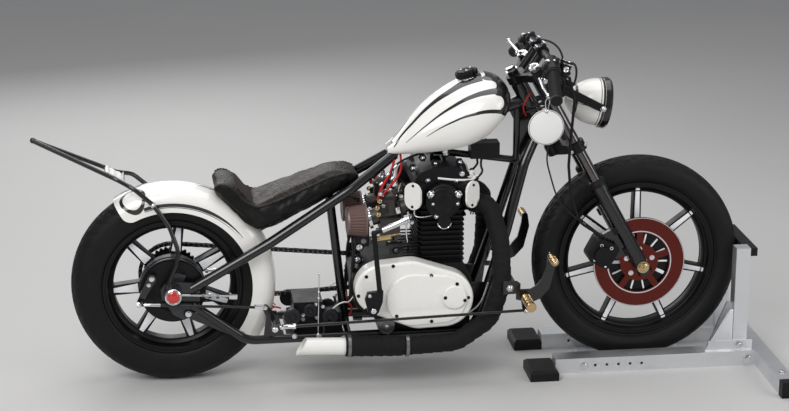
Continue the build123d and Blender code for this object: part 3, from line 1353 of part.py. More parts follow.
def all_nodes():
    """Every node of the machine with its solids."""
    rear = (0.0, REAR_AXLE_Z, REAR_TYRE_R, REAR_TYRE_HALF, REAR_RIM_R, REAR_LIP_HALF)
    front = (WHEELBASE, FRONT_AXLE_Z, FRONT_TYRE_R, FRONT_TYRE_HALF, FRONT_RIM_R, FRONT_LIP_HALF)
    return {
        "wheel_chock": wheel_chock(),
        "chock_rubber": chock_pad().solids() + chock_caps(),
        "fork_tubes": fork_tubes(),
        "fork_sliders": fork_sliders(),
        "fork_yokes": lower_yoke() + upper_yoke(),
        "front_axle": front_axle(),
        "front_caliper": front_caliper(),
        "brake_hose": brake_hose(),
        "handlebar": handlebar_tube(),
        "grips": grips(),
        "bar_controls": bar_controls(),
        "hand_levers": hand_levers(),
        "hang_tag": [hang_tag(), tag_wire()],
        "headlight_shell": headlight_shell(),
        "headlight_rim": headlight_rim(),
        "headlight_glass": headlight_glass(),
        "headlight_arms": headlight_arms(),
        "front_tyre": tyre(*front),
        "front_wheel": front_wheel(),
        "front_disc": front_disc(),
        "rear_tyre": tyre(*rear),
        "rear_wheel": rear_wheel(),
        "rear_sprocket": rear_sprocket(),
        "frame_spine": frame_spine(),
        "frame_downtubes": frame_downtubes(),
        "frame_lower_rails": frame_lower_rails(),
        "frame_upper_rails": frame_upper_rails(),
        "frame_axle_plates": frame_axle_plates(),
        "frame_seat_post": frame_seat_post(),
        "rear_axle": rear_axle(),
        "rear_brake_plate": rear_brake_plate(),
        "brake_linkage": brake_linkage(),
        "engine_cases": engine_cases(),
        "right_cover": right_cover(),
        "left_cover": left_cover(),
        "cylinders": cylinders(),
        "cylinder_head": cylinder_head(),
        "rocker_box": rocker_box(),
        "rocker_caps": rocker_caps(),
        "points_cover": points_cover(),
        "carburettors": carburettors(),
        "air_filters": air_filters(),
        "drive_chain": chain(),
        "exhaust_pipes": exhaust_pipes(),
        "exhaust_tips": exhaust_tips(),
        "kick_lever": kick_lever(),
        "forward_controls": forward_controls(),
        "foot_pegs": foot_pegs(),
        "electrics": electrics(),
        "fuel_tank": fuel_tank(),
        "tank_cap": tank_cap(),
        "seat": seat_pad(),
        "rear_fender": rear_fender(),
        "sissy_bar": sissy_bar(),
        "side_stand": side_stand(),
    }


def as_solids(shape):
    """The solids of one node, whether it was made as one piece or as a list."""
    pieces = shape if isinstance(shape, list) else [shape]
    solids = []
    for piece in pieces:
        solids += piece.solids()
    return solids


def main():
    """Build the nodes, put the origin below the middle of the machine and write them."""
    os.makedirs("parts", exist_ok=True)
    nodes = {name: as_solids(shape) for name, shape in all_nodes().items()}
    boxes = [solid.bounding_box() for solids in nodes.values() for solid in solids]
    low = Vector(*(min(getattr(box.min, side) for box in boxes) for side in "XYZ"))
    high = Vector(*(max(getattr(box.max, side) for box in boxes) for side in "XYZ"))
    shift = Vector(-(low.X + high.X) / 2, -(low.Y + high.Y) / 2, -low.Z)
    for name, solids in nodes.items():
        export_step(Compound(children=[Pos(*shift) * solid for solid in solids]), f"parts/{name}.step")
    print("shift", shift, "size", high - low)
    print("front axle", fork_point(0) + shift, "rear axle", Vector(0, 0, REAR_AXLE_Z) + shift)
    print("steering", steering_point(600) + shift, "direction", -sin(RAKE), cos(RAKE))


main()
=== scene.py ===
"""Looks of a hardtail chopper in its wheel chock: finishes, soft parts, small fittings and a studio.

Metres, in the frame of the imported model: X forward, Y to the rider's left, Z up from the floor. The pieces are
drawn in millimetres from the rear axle's foot on the floor, and are scaled and placed when they are finished.
"""

from __future__ import annotations

import json
import logging
import math
from dataclasses import dataclass, field
from enum import Enum
from typing import Callable, Iterable

import bmesh
import bpy
from mathutils import Euler, Matrix, Vector
from mathutils.bvhtree import BVHTree

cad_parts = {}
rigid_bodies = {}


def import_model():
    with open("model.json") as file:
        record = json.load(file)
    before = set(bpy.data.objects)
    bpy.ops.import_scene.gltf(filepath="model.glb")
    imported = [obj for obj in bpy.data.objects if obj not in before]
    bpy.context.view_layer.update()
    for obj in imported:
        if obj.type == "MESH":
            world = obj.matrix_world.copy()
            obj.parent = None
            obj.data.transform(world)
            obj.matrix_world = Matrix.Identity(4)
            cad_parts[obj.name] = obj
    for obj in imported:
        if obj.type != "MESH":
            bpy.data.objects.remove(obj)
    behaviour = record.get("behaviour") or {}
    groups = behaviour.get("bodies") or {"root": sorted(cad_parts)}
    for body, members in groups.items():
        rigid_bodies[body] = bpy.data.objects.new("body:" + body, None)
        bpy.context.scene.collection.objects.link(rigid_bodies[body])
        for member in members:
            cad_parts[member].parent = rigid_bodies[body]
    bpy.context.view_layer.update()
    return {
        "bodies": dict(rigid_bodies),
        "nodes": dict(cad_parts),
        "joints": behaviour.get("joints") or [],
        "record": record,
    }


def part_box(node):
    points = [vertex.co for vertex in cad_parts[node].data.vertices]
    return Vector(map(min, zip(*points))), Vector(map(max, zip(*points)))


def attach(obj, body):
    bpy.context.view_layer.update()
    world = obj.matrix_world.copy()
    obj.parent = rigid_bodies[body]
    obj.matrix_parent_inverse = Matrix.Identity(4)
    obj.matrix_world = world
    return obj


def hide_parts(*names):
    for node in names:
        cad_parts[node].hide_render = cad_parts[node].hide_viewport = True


log = logging.getLogger("chopper")

MM = 0.001
TO_METRES = Matrix.Diagonal((MM, MM, MM, 1.0))
REAR_AXLE = Vector((-0.7485, 0.0, 0.315))
WHEELBASE = 1490.0
FRONT_AXLE_Z = 340.5

SIDES = (-1, 1)
UP = Vector((0, 0, 1))
DOWN = Vector((0, 0, -1))
RIGHT = Vector((0, -1, 0))


def place(x: float, y: float, z: float) -> Vector:
    """A point given in millimetres from the rear axle's foot on the floor."""
    return Vector((x * MM + REAR_AXLE.x, y * MM, z * MM))


def across(distance: float) -> Vector:
    """A step across the bike: to the left if it is positive, to the right if it is negative."""
    return Vector((0, distance, 0))


def spoke(degrees: float, length: float = 1.0) -> Vector:
    """A step in the bike's side view, by its angle up from straight ahead and its length."""
    turn = math.radians(degrees)
    return Vector((length * math.cos(turn), 0, length * math.sin(turn)))


def around(count: int, first: float = 0.0) -> list[float]:
    """Angles in degrees, evenly round a circle from the first one."""
    return [first + number * 360 / count for number in range(count)]


def linked(name: str, data: bpy.types.ID) -> bpy.types.Object:
    """A new object in the scene."""
    made = bpy.data.objects.new(name, data)
    bpy.context.scene.collection.objects.link(made)
    return made


class Body(Enum):
    """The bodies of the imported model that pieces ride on."""

    FRONT_END = "front_end"
    FRONT_WHEEL = "front_wheel"
    FRAME = "frame"
    REAR_WHEEL = "rear_wheel"


class Head(Enum):
    """Kinds of bolt head."""

    HEX = "hex"
    DOME = "dome nut"
    SOCKET = "socket"


class Shader:
    """A material's node tree, with short calls for the nodes that the finishes use."""

    def __init__(self, name: str) -> None:
        """Start an empty principled material of a name."""
        self.material = bpy.data.materials.new(name)
        self.material.use_nodes = True
        self.nodes = self.material.node_tree.nodes
        self.links = self.material.node_tree.links
        self.bsdf = self.nodes["Principled BSDF"]
        coords = self.nodes.new("ShaderNodeTexCoord")
        self.object_coords, self.normals = coords.outputs["Object"], coords.outputs["Normal"]

    def set(self, **values: object) -> None:
        """Set plain values on the principled shader's sockets, named with underscores for spaces."""
        for name, value in values.items():
            self.to_shader(name.replace("_", " "), value)

    def join(self, source: object, socket: object) -> None:
        """Link an output, or give a plain number or colour, to a socket."""
        if isinstance(source, bpy.types.NodeSocket):
            self.links.new(source, socket)
        elif isinstance(source, tuple) and len(source) == 3 and socket.type == "RGBA":
            socket.default_value = (*source, 1.0)
        else:
            socket.default_value = source

    def to_shader(self, name: str, source: object) -> None:
        """Join an output or a plain value to one of the principled shader's sockets."""
        self.join(source, self.bsdf.inputs[name])

    def node(self, kind: str, **inputs: object) -> bpy.types.Node:
        """A new node with outputs or plain values joined to its sockets.

        Args:
            kind: Blender's name of the node without its prefix.
            **inputs: Socket names with underscores for spaces, and what goes to them.

        Returns:
            The node.
        """
        made = self.nodes.new(f"ShaderNode{kind}")
        for name, source in inputs.items():
            self.join(source, made.inputs[name.replace("_", " ")])
        return made

    def maths(self, operation: str, *sources: object) -> object:
        """The output of a math node on up to three numbers or outputs."""
        node = self.nodes.new("ShaderNodeMath")
        node.operation = operation
        for socket, source in zip(node.inputs, (*sources, 0.0, 0.0)):
            self.join(source, socket)
        return node.outputs[0]

    def length(self, first: object, second: object) -> object:
        """The length of a vector of two parts."""
        squares = [self.maths("POWER", part, 2.0) for part in (first, second)]
        return self.maths("SQRT", self.maths("ADD", *squares))

    def away(self, source: object, middle: object) -> object:
        """The plain distance between two values."""
        return self.maths("ABSOLUTE", self.maths("SUBTRACT", source, middle))

    def split(self, vector: object) -> tuple:
        """The x, y and z outputs of a vector."""
        return tuple(self.node("SeparateXYZ", Vector=vector).outputs)

    def scaled(self, vector: object, scale: tuple) -> object:
        """A vector scaled in x, y and z."""
        return self.node("Mapping", Vector=vector, Scale=scale).outputs[0]

    def noise(self, scale: float, detail: float = 4.0, roughness: float = 0.55,
              vector: object = None) -> object:
        """A noise texture's value on the object's coordinates or on another vector."""
        return self.node("TexNoise", Scale=scale, Detail=detail, Roughness=roughness,
                         Vector=vector or self.object_coords).outputs["Fac"]

    def cells(self, scale: float, feature: str = "F1", vector: object = None) -> object:
        """A cell texture's distance output."""
        node = self.nodes.new("ShaderNodeTexVoronoi")
        node.feature = feature
        node.inputs["Scale"].default_value = scale
        self.join(vector or self.object_coords, node.inputs["Vector"])
        return node.outputs["Distance"]

    def spread(self, source: object, low: float, high: float, out_low: float = 0.0,
               out_high: float = 1.0) -> object:
        """A value mapped from one range to another, held at the ends."""
        return self.node("MapRange", Value=source, From_Min=low, From_Max=high, To_Min=out_low,
                         To_Max=out_high).outputs[0]

    def blend(self, share: object, first: object, second: object) -> object:
        """A colour between two, by a share from 0 to 1."""
        node = self.nodes.new("ShaderNodeMix")
        node.data_type = "RGBA"
        colours = [socket for socket in node.inputs if socket.type == "RGBA"]
        for source, socket in ((share, node.inputs["Factor"]), (first, colours[0]), (second, colours[1])):
            self.join(source, socket)
        return next(socket for socket in node.outputs if socket.type == "RGBA")

    def bump(self, height: object, distance: float, strength: float = 1.0) -> None:
        """Give the principled shader a normal from a height."""
        self.to_shader("Normal", self.node("Bump", Strength=strength, Distance=distance,
                                           Height=height).outputs[0])

    def line(self, source: object, points: Iterable[tuple[float, float]]) -> object:
        """A smooth curve through points in the scene's own metres.

        Args:
            source: The output that runs along the curve.
            points: Pairs of place and height, from the lowest place to the highest.

        Returns:
            The height at the source's place.
        """
        points = list(points)
        first, last = points[0][0], points[-1][0]
        low, high = min(z for _, z in points), max(z for _, z in points)
        rise = max(high - low, 1e-6)
        share = self.spread(source, first, last)
        shape = self.curve(share, [((x - first) / (last - first), (z - low) / rise) for x, z in points])
        return self.maths("MULTIPLY_ADD", shape, rise, low)

    def curve(self, source: object, points: list[tuple[float, float]]) -> object:
        """A smooth curve through points from 0 to 1 in both directions."""
        node = self.node("FloatCurve", Value=source)
        line = node.mapping.curves[0]
        for _ in range(len(points) - 2):
            line.points.new(0.5, 0.5)
        for point, (x, y) in zip(line.points, points):
            point.location = (x, y)
        node.mapping.update()
        return node.outputs[0]

    def inside(self, source: object, reach: object, soft: float = 0.0004) -> object:
        """1 where the source is below the reach, 0 above it, with a soft edge."""
        return self.spread(self.maths("SUBTRACT", reach, source), -soft, soft)

    def beyond(self, source: object, start: float, soft: float) -> object:
        """1 where the source is above the start, 0 below it, with a soft edge."""
        return self.inside(self.maths("MULTIPLY", source, -1.0), -start, soft)

    def folded(self, operation: str, masks: tuple) -> object:
        """Several masks taken together by one operation, two at a time."""
        joined = masks[0]
        for mask in masks[1:]:
            joined = self.maths(operation, joined, mask)
        return joined

    def either(self, *masks: object) -> object:
        """The highest of several masks."""
        return self.folded("MAXIMUM", masks)

    def both(self, *masks: object) -> object:
        """The product of several masks."""
        return self.folded("MULTIPLY", masks)


@dataclass(frozen=True)
class Finish:
    """A look, which is made into a material when it is first used."""

    name: str
    colour: tuple

    def shader(self) -> Shader:
        """The finish's node tree."""
        return Shader(self.name)

    def build(self) -> bpy.types.Material:
        """The finished material."""
        return self.shader().material


@dataclass(frozen=True)
class Paint(Finish):
    """Sprayed paint under a clear coat, with faint orange peel and a film of dust."""

    roughness: float = 0.32
    coat: float = 0.8
    dust: float = 0.06

    def shader(self) -> Shader:
        """The paint's node tree, in its plain colour."""
        made = super().shader()
        made.set(Coat_Weight=self.coat, Coat_Roughness=0.06, IOR=1.5)
        cloud = made.noise(9.0, 5.0)
        made.to_shader("Roughness", made.spread(cloud, 0.3, 0.75, self.roughness,
                                                self.roughness + self.dust * 2))
        self.tint(made, self.colour)
        made.bump(made.noise(650.0, 2.0), 0.00004, 0.5)
        return made

    def tint(self, made: Shader, colour: object) -> None:
        """Give the shader a plain colour or an output, with slow changes in its depth."""
        shade = made.spread(made.noise(3.5, 6.0), 0.3, 0.7, 0.0, self.dust)
        made.to_shader("Base Color", made.blend(shade, colour, (0.5, 0.49, 0.47)))


@dataclass(frozen=True)
class Cast(Finish):
    """Cast or machined metal with a grain, and worn places that catch a little more light."""

    metallic: float
    roughness: float
    grain: float = 260.0
    depth: float = 0.00012
    worn: tuple = (0.5, 0.5, 0.5)
    wear: float = 0.1

    def shader(self) -> Shader:
        """The metal's node tree, with a weaker sheen where its colour is very dark."""
        made = super().shader()
        made.set(Metallic=self.metallic, IOR=1.5 if max(self.colour) > 0.05 else 1.33)
        cloud = made.noise(24.0, 6.0, 0.6)
        made.to_shader("Roughness", made.spread(cloud, 0.25, 0.75, self.roughness - 0.06,
                                                self.roughness + 0.12))
        share = made.spread(made.noise(60.0, 5.0, 0.65), 0.62, 0.8, 0.0, self.wear)
        made.to_shader("Base Color", made.blend(share, self.colour, self.worn))
        made.bump(made.noise(self.grain, 3.0), self.depth, 0.6)
        return made


@dataclass(frozen=True)
class Brushed(Finish):
    """Bare metal with fine parallel lines."""

    roughness: float
    lines: tuple = (4.0, 900.0, 900.0)
    depth: float = 0.00003
    stain: tuple = (0.35, 0.34, 0.33)

    def shader(self) -> Shader:
        """The metal's node tree."""
        made = super().shader()
        made.set(Metallic=1.0, IOR=1.5)
        streak = made.noise(1.0, 3.0, 0.6, made.scaled(made.object_coords, self.lines))
        cloud = made.noise(7.0, 5.0)
        made.to_shader("Roughness", made.maths(
            "ADD", made.spread(streak, 0.3, 0.7, self.roughness - 0.07, self.roughness + 0.07),
            made.spread(cloud, 0.35, 0.75, 0.0, 0.1)))
        made.to_shader("Base Color", made.blend(made.spread(cloud, 0.5, 0.85, 0.0, 0.35), self.colour,
                                                self.stain))
        made.bump(streak, self.depth, 0.5)
        return made


@dataclass(frozen=True)
class Polished(Finish):
    """Plated or polished metal with faint haze."""

    roughness: float = 0.07

    def shader(self) -> Shader:
        """The metal's node tree."""
        made = super().shader()
        made.set(Metallic=1.0)
        haze = made.noise(30.0, 6.0, 0.6)
        made.to_shader("Roughness", made.spread(haze, 0.35, 0.8, self.roughness, self.roughness + 0.12))
        shade = made.spread(made.noise(80.0, 4.0), 0.5, 0.8, 0.0, 0.25)
        made.to_shader("Base Color", made.blend(shade, self.colour, (0.4, 0.38, 0.36)))
        made.bump(made.noise(300.0, 2.0), 0.00003, 0.3)
        return made


@dataclass(frozen=True)
class Rubber(Finish):
    """Matt rubber with a dusty bloom."""

    roughness: float = 0.72
    bloom: float = 0.12

    def shader(self) -> Shader:
        """The rubber's node tree."""
        made = super().shader()
        made.set(IOR=1.33, Sheen_Weight=0.02, Sheen_Roughness=0.5)
        cloud = made.noise(14.0, 6.0, 0.62)
        made.to_shader("Roughness", made.spread(cloud, 0.3, 0.7, self.roughness - 0.08, self.roughness + 0.1))
        bloom = made.spread(cloud, 0.45, 0.8, 0.0, self.bloom)
        made.to_shader("Base Color", made.blend(bloom, self.colour, (0.12, 0.115, 0.11)))
        made.bump(made.noise(420.0, 3.0), 0.00012, 0.5)
        return made


@dataclass(frozen=True)
class Clear(Finish):
    """Clear glass with a faint tint."""

    def shader(self) -> Shader:
        """The glass's node tree."""
        made = super().shader()
        made.set(Transmission_Weight=1.0, IOR=1.45, Coat_Weight=0.4, Base_Color=self.colour)
        made.to_shader("Roughness", made.spread(made.noise(40.0), 0.3, 0.8, 0.02, 0.08))
        return made


def drawn_out(outline: Iterable[tuple[float, float]], y_from: float, y_to: float) -> bmesh.types.BMesh:
    """A closed mesh of an outline in x and z, drawn out from one y place to another."""
    made = bmesh.new()
    face = made.faces.new([made.verts.new((x, y_from, z)) for x, z in outline])
    grown = bmesh.ops.extrude_face_region(made, geom=[face])
    top = [item for item in grown["geom"] if isinstance(item, bmesh.types.BMVert)]
    bmesh.ops.translate(made, verts=top, vec=(0, y_to - y_from, 0))
    bmesh.ops.recalc_face_normals(made, faces=made.faces)
    return made


def round_edges(made: bmesh.types.BMesh, edge: float) -> None:
    """Bevel every edge of a mesh, if an edge size is given."""
    if edge:
        bmesh.ops.bevel(made, geom=made.edges[:], offset=edge, offset_type="OFFSET", segments=2, profile=0.5,
                        affect="EDGES", material=-1)


def close_up(made: bmesh.types.BMesh, merge: float) -> None:
    """Merge a mesh's doubled points, fill its open ends and turn its faces outward."""
    bmesh.ops.remove_doubles(made, verts=made.verts, dist=merge)
    open_edges = [edge for edge in made.edges if edge.is_boundary]
    if open_edges:
        bmesh.ops.holes_fill(made, edges=open_edges, sides=0)
    bmesh.ops.recalc_face_normals(made, faces=made.faces)


class Work:
    """One piece being made, in millimetres from the rear axle's foot, until it is finished."""

    def __init__(self) -> None:
        """Start with an empty mesh."""
        self.shape = bmesh.new()

    def take(self, made: bmesh.types.BMesh, turn: Matrix = Matrix()) -> None:
        """Join a small mesh into the piece at a place, and free it."""
        mesh = bpy.data.meshes.new("joined")
        made.to_mesh(mesh)
        made.free()
        mesh.transform(turn)
        self.shape.from_mesh(mesh)
        bpy.data.meshes.remove(mesh)

    def turned(self, start: tuple, way: tuple, outline: Iterable[tuple[float, float]], sides: int = 24) -> None:
        """An outline turned about an axis.

        Args:
            start: Where the outline's distances begin.
            way: The direction of the axis.
            outline: Pairs of distance along the axis and radius.
            sides: Steps round the axis.
        """
        made = bmesh.new()
        verts = [made.verts.new((radius, 0.0, along)) for along, radius in outline]
        edges = [made.edges.new(ends) for ends in zip(verts, verts[1:])]
        bmesh.ops.spin(made, geom=verts + edges, cent=(0, 0, 0), axis=(0, 0, 1), angle=2 * math.pi, steps=sides,
                       use_merge=True)
        close_up(made, 0.001)
        self.take(made, Matrix.Translation(Vector(start)) @ Vector(way).to_track_quat("Z",
                                                                                      "Y").to_matrix().to_4x4())

    def ring(self, start: tuple, way: tuple, outline: list[tuple[float, float]], sides: int = 24) -> None:
        """A closed outline turned about an axis: its last point is joined to its first."""
        self.turned(start, way, [*outline, outline[0]], sides)

    def rod(self, start: tuple, end: tuple, radius: float, sides: int = 16, edge: float = 0.0) -> None:
        """A round bar between two points, with its end edges rounded if an edge size is given."""
        way = Vector(end) - Vector(start)
        long, cut = way.length, edge * 0.3
        outline = [(0, 0), (0, radius), (long, radius), (long, 0)]
        if edge:
            outline = [(0, 0), (0, radius - edge), (cut, radius - cut), (edge, radius), (long - edge, radius),
                       (long - cut, radius - cut), (long, radius - edge), (long, 0)]
        self.turned(start, way, outline, sides)

    def ball(self, centre: tuple, radius: float, sides: int = 14) -> None:
        """A ball."""
        made = bmesh.new()
        bmesh.ops.create_uvsphere(made, u_segments=sides, v_segments=sides // 2 + 1, radius=radius)
        self.take(made, Matrix.Translation(Vector(centre)))

    def block(self, centre: tuple, size: tuple, turn: tuple = (0.0, 0.0, 0.0), edge: float = 1.5) -> None:
        """A box with rounded edges, turned by degrees about x, y and z."""
        made = bmesh.new()
        bmesh.ops.create_cube(made, size=1.0, matrix=Matrix.Diagonal((*size, 1.0)))
        round_edges(made, edge)
        spin = Euler([math.radians(angle) for angle in turn]).to_matrix().to_4x4()
        self.take(made, Matrix.Translation(Vector(centre)) @ spin)

    def plate(self, outline: Iterable[tuple[float, float]], y_from: float, y_to: float,
              edge: float = 0.0) -> None:
        """A flat plate from an outline in x and z, between two y places."""
        made = drawn_out(outline, y_from, y_to)
        round_edges(made, edge)
        self.take(made)

    def line(self, points: Iterable[tuple], radius: float) -> None:
        """A smooth round line, such as a lead, hose or wire, guided by control points.

        Args:
            points: The control points.
            radius: Half the line's thickness.
        """
        data = bpy.data.curves.new("line", "CURVE")
        data.dimensions = "3D"
        data.bevel_depth = radius
        data.bevel_resolution = 4
        data.use_fill_caps = True
        route = data.splines.new("NURBS")
        points = list(points)
        route.points.add(len(points) - 1)
        for spot, at in zip(route.points, points):
            spot.co = (*at, 1.0)
        route.order_u = 3
        route.use_endpoint_u = True
        route.resolution_u = 6
        holder = bpy.data.objects.new("line", data)
        mesh = bpy.data.meshes.new_from_object(holder)
        self.shape.from_mesh(mesh)
        bpy.data.objects.remove(holder)
        bpy.data.meshes.remove(mesh)
        bpy.data.curves.remove(data)

    def sleeve(self, route: list[Vector], outline: Callable[[float, float], float], sides: int = 32) -> None:
        """A closed skin round a route, with a radius that may change along it and round it.

        Args:
            route: Closely spaced points of the middle line.
            outline: Radius by the distance along the route and the angle round it, in millimetres and radians.
            sides: Steps round the route.
        """
        made = bmesh.new()
        last = len(route) - 1
        bmesh.ops.create_grid(made, x_segments=last, y_segments=sides, size=0.5)
        tangents = [(route[min(i + 1, last)] - route[max(i - 1, 0)]).normalized() for i in range(last + 1)]
        normal = tangents[0].orthogonal().normalized()
        frames, gone = [], 0.0
        for index, tangent in enumerate(tangents):
            normal = (normal - tangent * normal.dot(tangent)).normalized()
            if index:
                gone += (route[index] - route[index - 1]).length
            frames.append((route[index], normal.copy(), tangent.cross(normal), gone))
        for vert in made.verts:
            centre, aside, up, along = frames[round((vert.co.x + 0.5) * last)]
            turn = (vert.co.y + 0.5) * 2 * math.pi
            reach = outline(along, turn)
            vert.co = centre + aside * (reach * math.cos(turn)) + up * (reach * math.sin(turn))
        close_up(made, 0.005)
        self.take(made)

    def bolt(self, at: tuple, way: tuple, radius: float, height: float, head: Head = Head.HEX) -> None:
        """A bolt head standing on a face.

        Args:
            at: The middle of its seat.
            way: The direction that its head points in.
            radius: Half its width.
            height: How far it stands out.
            head: The kind of head.
        """
        def shape(sides: int, *points: tuple[float, float]) -> None:
            """Turn an outline given as shares of the height and the radius."""
            self.turned(at, way, [(height * along, radius * wide) for along, wide in points], sides)

        if head is Head.DOME:
            shape(6, (0, 0), (0, 1.15), (0.12, 1.15), (0.14, 1))
            shape(14, (0.1, 0), (0.1, 0.92), (0.6, 0.8), (0.9, 0.45), (1, 0))
        elif head is Head.SOCKET:
            shape(12, (0, 0), (0, 1), (0.8, 1), (1, 0.86), (1, 0.5), (0.45, 0.46), (0.45, 0))
        else:
            shape(16, (0, 0), (0, 1.2), (0.15, 1.2), (0.15, 0))
            shape(6, (0.1, 0), (0.1, 1), (0.88, 1), (1, 0.86), (1, 0))

    def finish(self, name: str, finish: Finish, body: Body = Body.FRAME, replaced: tuple = (), slot: str = "",
               sharp: float = 40.0) -> bpy.types.Object:
        """Turn the mesh into a piece that rides on its body.

        Args:
            name: The piece's name.
            finish: Its look.
            body: The body that it rides on.
            replaced: Names of the CAD nodes that it stands for.
            slot: Not used. It names the record's material slot that the piece would belong to, or nothing for
                the finish's own.
            sharp: Angle past which an edge stays sharp, in degrees.

        Returns:
            The piece.
        """
        mesh = bpy.data.meshes.new(name)
        self.shape.to_mesh(mesh)
        self.shape.free()
        mesh.transform(Matrix.Translation((REAR_AXLE.x, 0, 0)) @ TO_METRES)
        mesh.shade_smooth()
        mesh.set_sharp_from_angle(angle=math.radians(sharp))
        piece = linked(name, mesh)
        mesh.materials.append(made_once(finish))
        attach(piece, body.value)
        if replaced:
            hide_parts(*replaced)
        log.info("%s: %d faces", name, len(mesh.polygons))
        return piece


def rounded_route(points: Iterable[tuple], bends: Iterable[float], step: float) -> list[Vector]:
    """Closely spaced points along a hard tube with straight runs and round bends.

    Args:
        points: The corners of the tube's middle line.
        bends: The bend's radius at each inner corner.
        step: Distance between the points.

    Returns:
        The points from the first corner to the last.
    """
    corners = [Vector(point) for point in points]
    line = [corners[0]]
    for before, corner, after, bend in zip(corners, corners[1:], corners[2:], bends):
        back, ahead = (before - corner).normalized(), (after - corner).normalized()
        half = back.angle(ahead) / 2
        reach = bend / math.tan(half)
        centre = corner + (back + ahead).normalized() * (bend / math.sin(half))
        start, end = corner + back * reach - centre, corner + ahead * reach - centre
        turns = max(2, round(start.angle(end) * bend / step))
        axis, sweep = start.cross(end).normalized(), start.angle(end)
        line.extend(centre + Matrix.Rotation(sweep * number / turns, 3,
                                             axis) @ start for number in range(turns + 1))
    line.append(corners[-1])
    even = [line[0]]
    for start, end in zip(line, line[1:]):
        parts = max(1, round((end - start).length / step))
        even.extend(start.lerp(end, number / parts) for number in range(1, parts + 1))
    return even


IVORY = (0.88, 0.865, 0.825)
LINE_BLACK = (0.004, 0.004, 0.005)

# The finish of each of the record's slots.
FINISHES = {
    "black_paint": Paint("frame_black", (0.003, 0.003, 0.004), 0.24, 0.45, 0.003),
    "ivory_paint": Paint("ivory_gloss", IVORY, 0.26, 0.5, 0.02),
    "chrome": Polished("bright_chrome", (0.78, 0.78, 0.8)),
    "aluminium": Brushed("chock_aluminium", (0.8, 0.81, 0.83), 0.42),
    "cast_black": Cast("wheel_black", (0.004, 0.004, 0.005), 0.0, 0.36, wear=0.01),
    "engine_black": Cast("engine_black", (0.004, 0.004, 0.005), 0.0, 0.4, wear=0.02),
    # The disc is bare steel: its dark red colour and red stain are a painted reflection of red surroundings, not
    # the metal's own colour.
    "disc_steel": Brushed("disc_steel", (0.15, 0.03, 0.024), 0.24, (900.0, 4.0, 900.0),
                          stain=(0.1, 0.03, 0.02)),
    "tyre_rubber": Rubber("tyre_rubber", (0.004, 0.004, 0.0042), 0.58, 0.04),
    "black_rubber": Rubber("black_rubber", (0.004, 0.004, 0.0043), 0.52, 0.03),
    "dark_leather": Rubber("plain_leather", (0.03, 0.022, 0.018), 0.45),
    "lamp_glass": Clear("lamp_glass", (0.93, 0.96, 0.98)),
    "brass": Polished("peg_brass", (0.62, 0.42, 0.22), 0.18),
    "pipe_wrap": Rubber("pipe_wrap", (0.006, 0.006, 0.0062), 0.8, 0.05),
    "tag_white": Paint("tag_white", (0.82, 0.82, 0.8), 0.4, 0.3),
    "filter_mesh": Rubber("filter_gauze", (0.13, 0.075, 0.065), 0.6),
    "carb_alloy": Cast("carburettor_alloy", (0.07, 0.062, 0.055), 0.8, 0.36, wear=0.2),
}
BOLT_CHROME = Polished("bolt_chrome", (0.8, 0.8, 0.82), 0.1)
BOLT_BLACK = Cast("bolt_black", (0.012, 0.012, 0.013), 0.6, 0.35, wear=0.2)
SILVER_FACE = Cast("silver_face", (0.93, 0.94, 0.96), 0.0, 0.3, 500.0, 0.00002, (0.75, 0.75, 0.76), 0.2)
BRIGHT_RED = Paint("bright_red", (0.55, 0.012, 0.01), 0.15, 1.0, 0.02)
RED_LEAD = Rubber("red_lead", (0.42, 0.012, 0.01), 0.42, 0.02)
BLACK_LEAD = Rubber("black_lead", (0.012, 0.012, 0.012), 0.42, 0.05)
WHITE_PLASTIC = Paint("white_plastic", (0.78, 0.78, 0.75), 0.4, 0.2)
IVORY_CAP = Paint("ivory_cap", IVORY, 0.26, 0.5, 0.02)
GREY_METAL = Cast("grey_metal", (0.24, 0.24, 0.25), 0.9, 0.34, wear=0.3)
DARK_METAL = Cast("dark_metal", (0.03, 0.03, 0.033), 0.5, 0.4, wear=0.15)
BRASS_FITTING = Polished("brass_fitting", (0.62, 0.47, 0.24), 0.2)

_MADE: dict[str, bpy.types.Material] = {}


def made_once(finish: Finish) -> bpy.types.Material:
    """The material of a finish, made when it is first asked for."""
    if finish.name not in _MADE:
        _MADE[finish.name] = finish.build()
    return _MADE[finish.name]


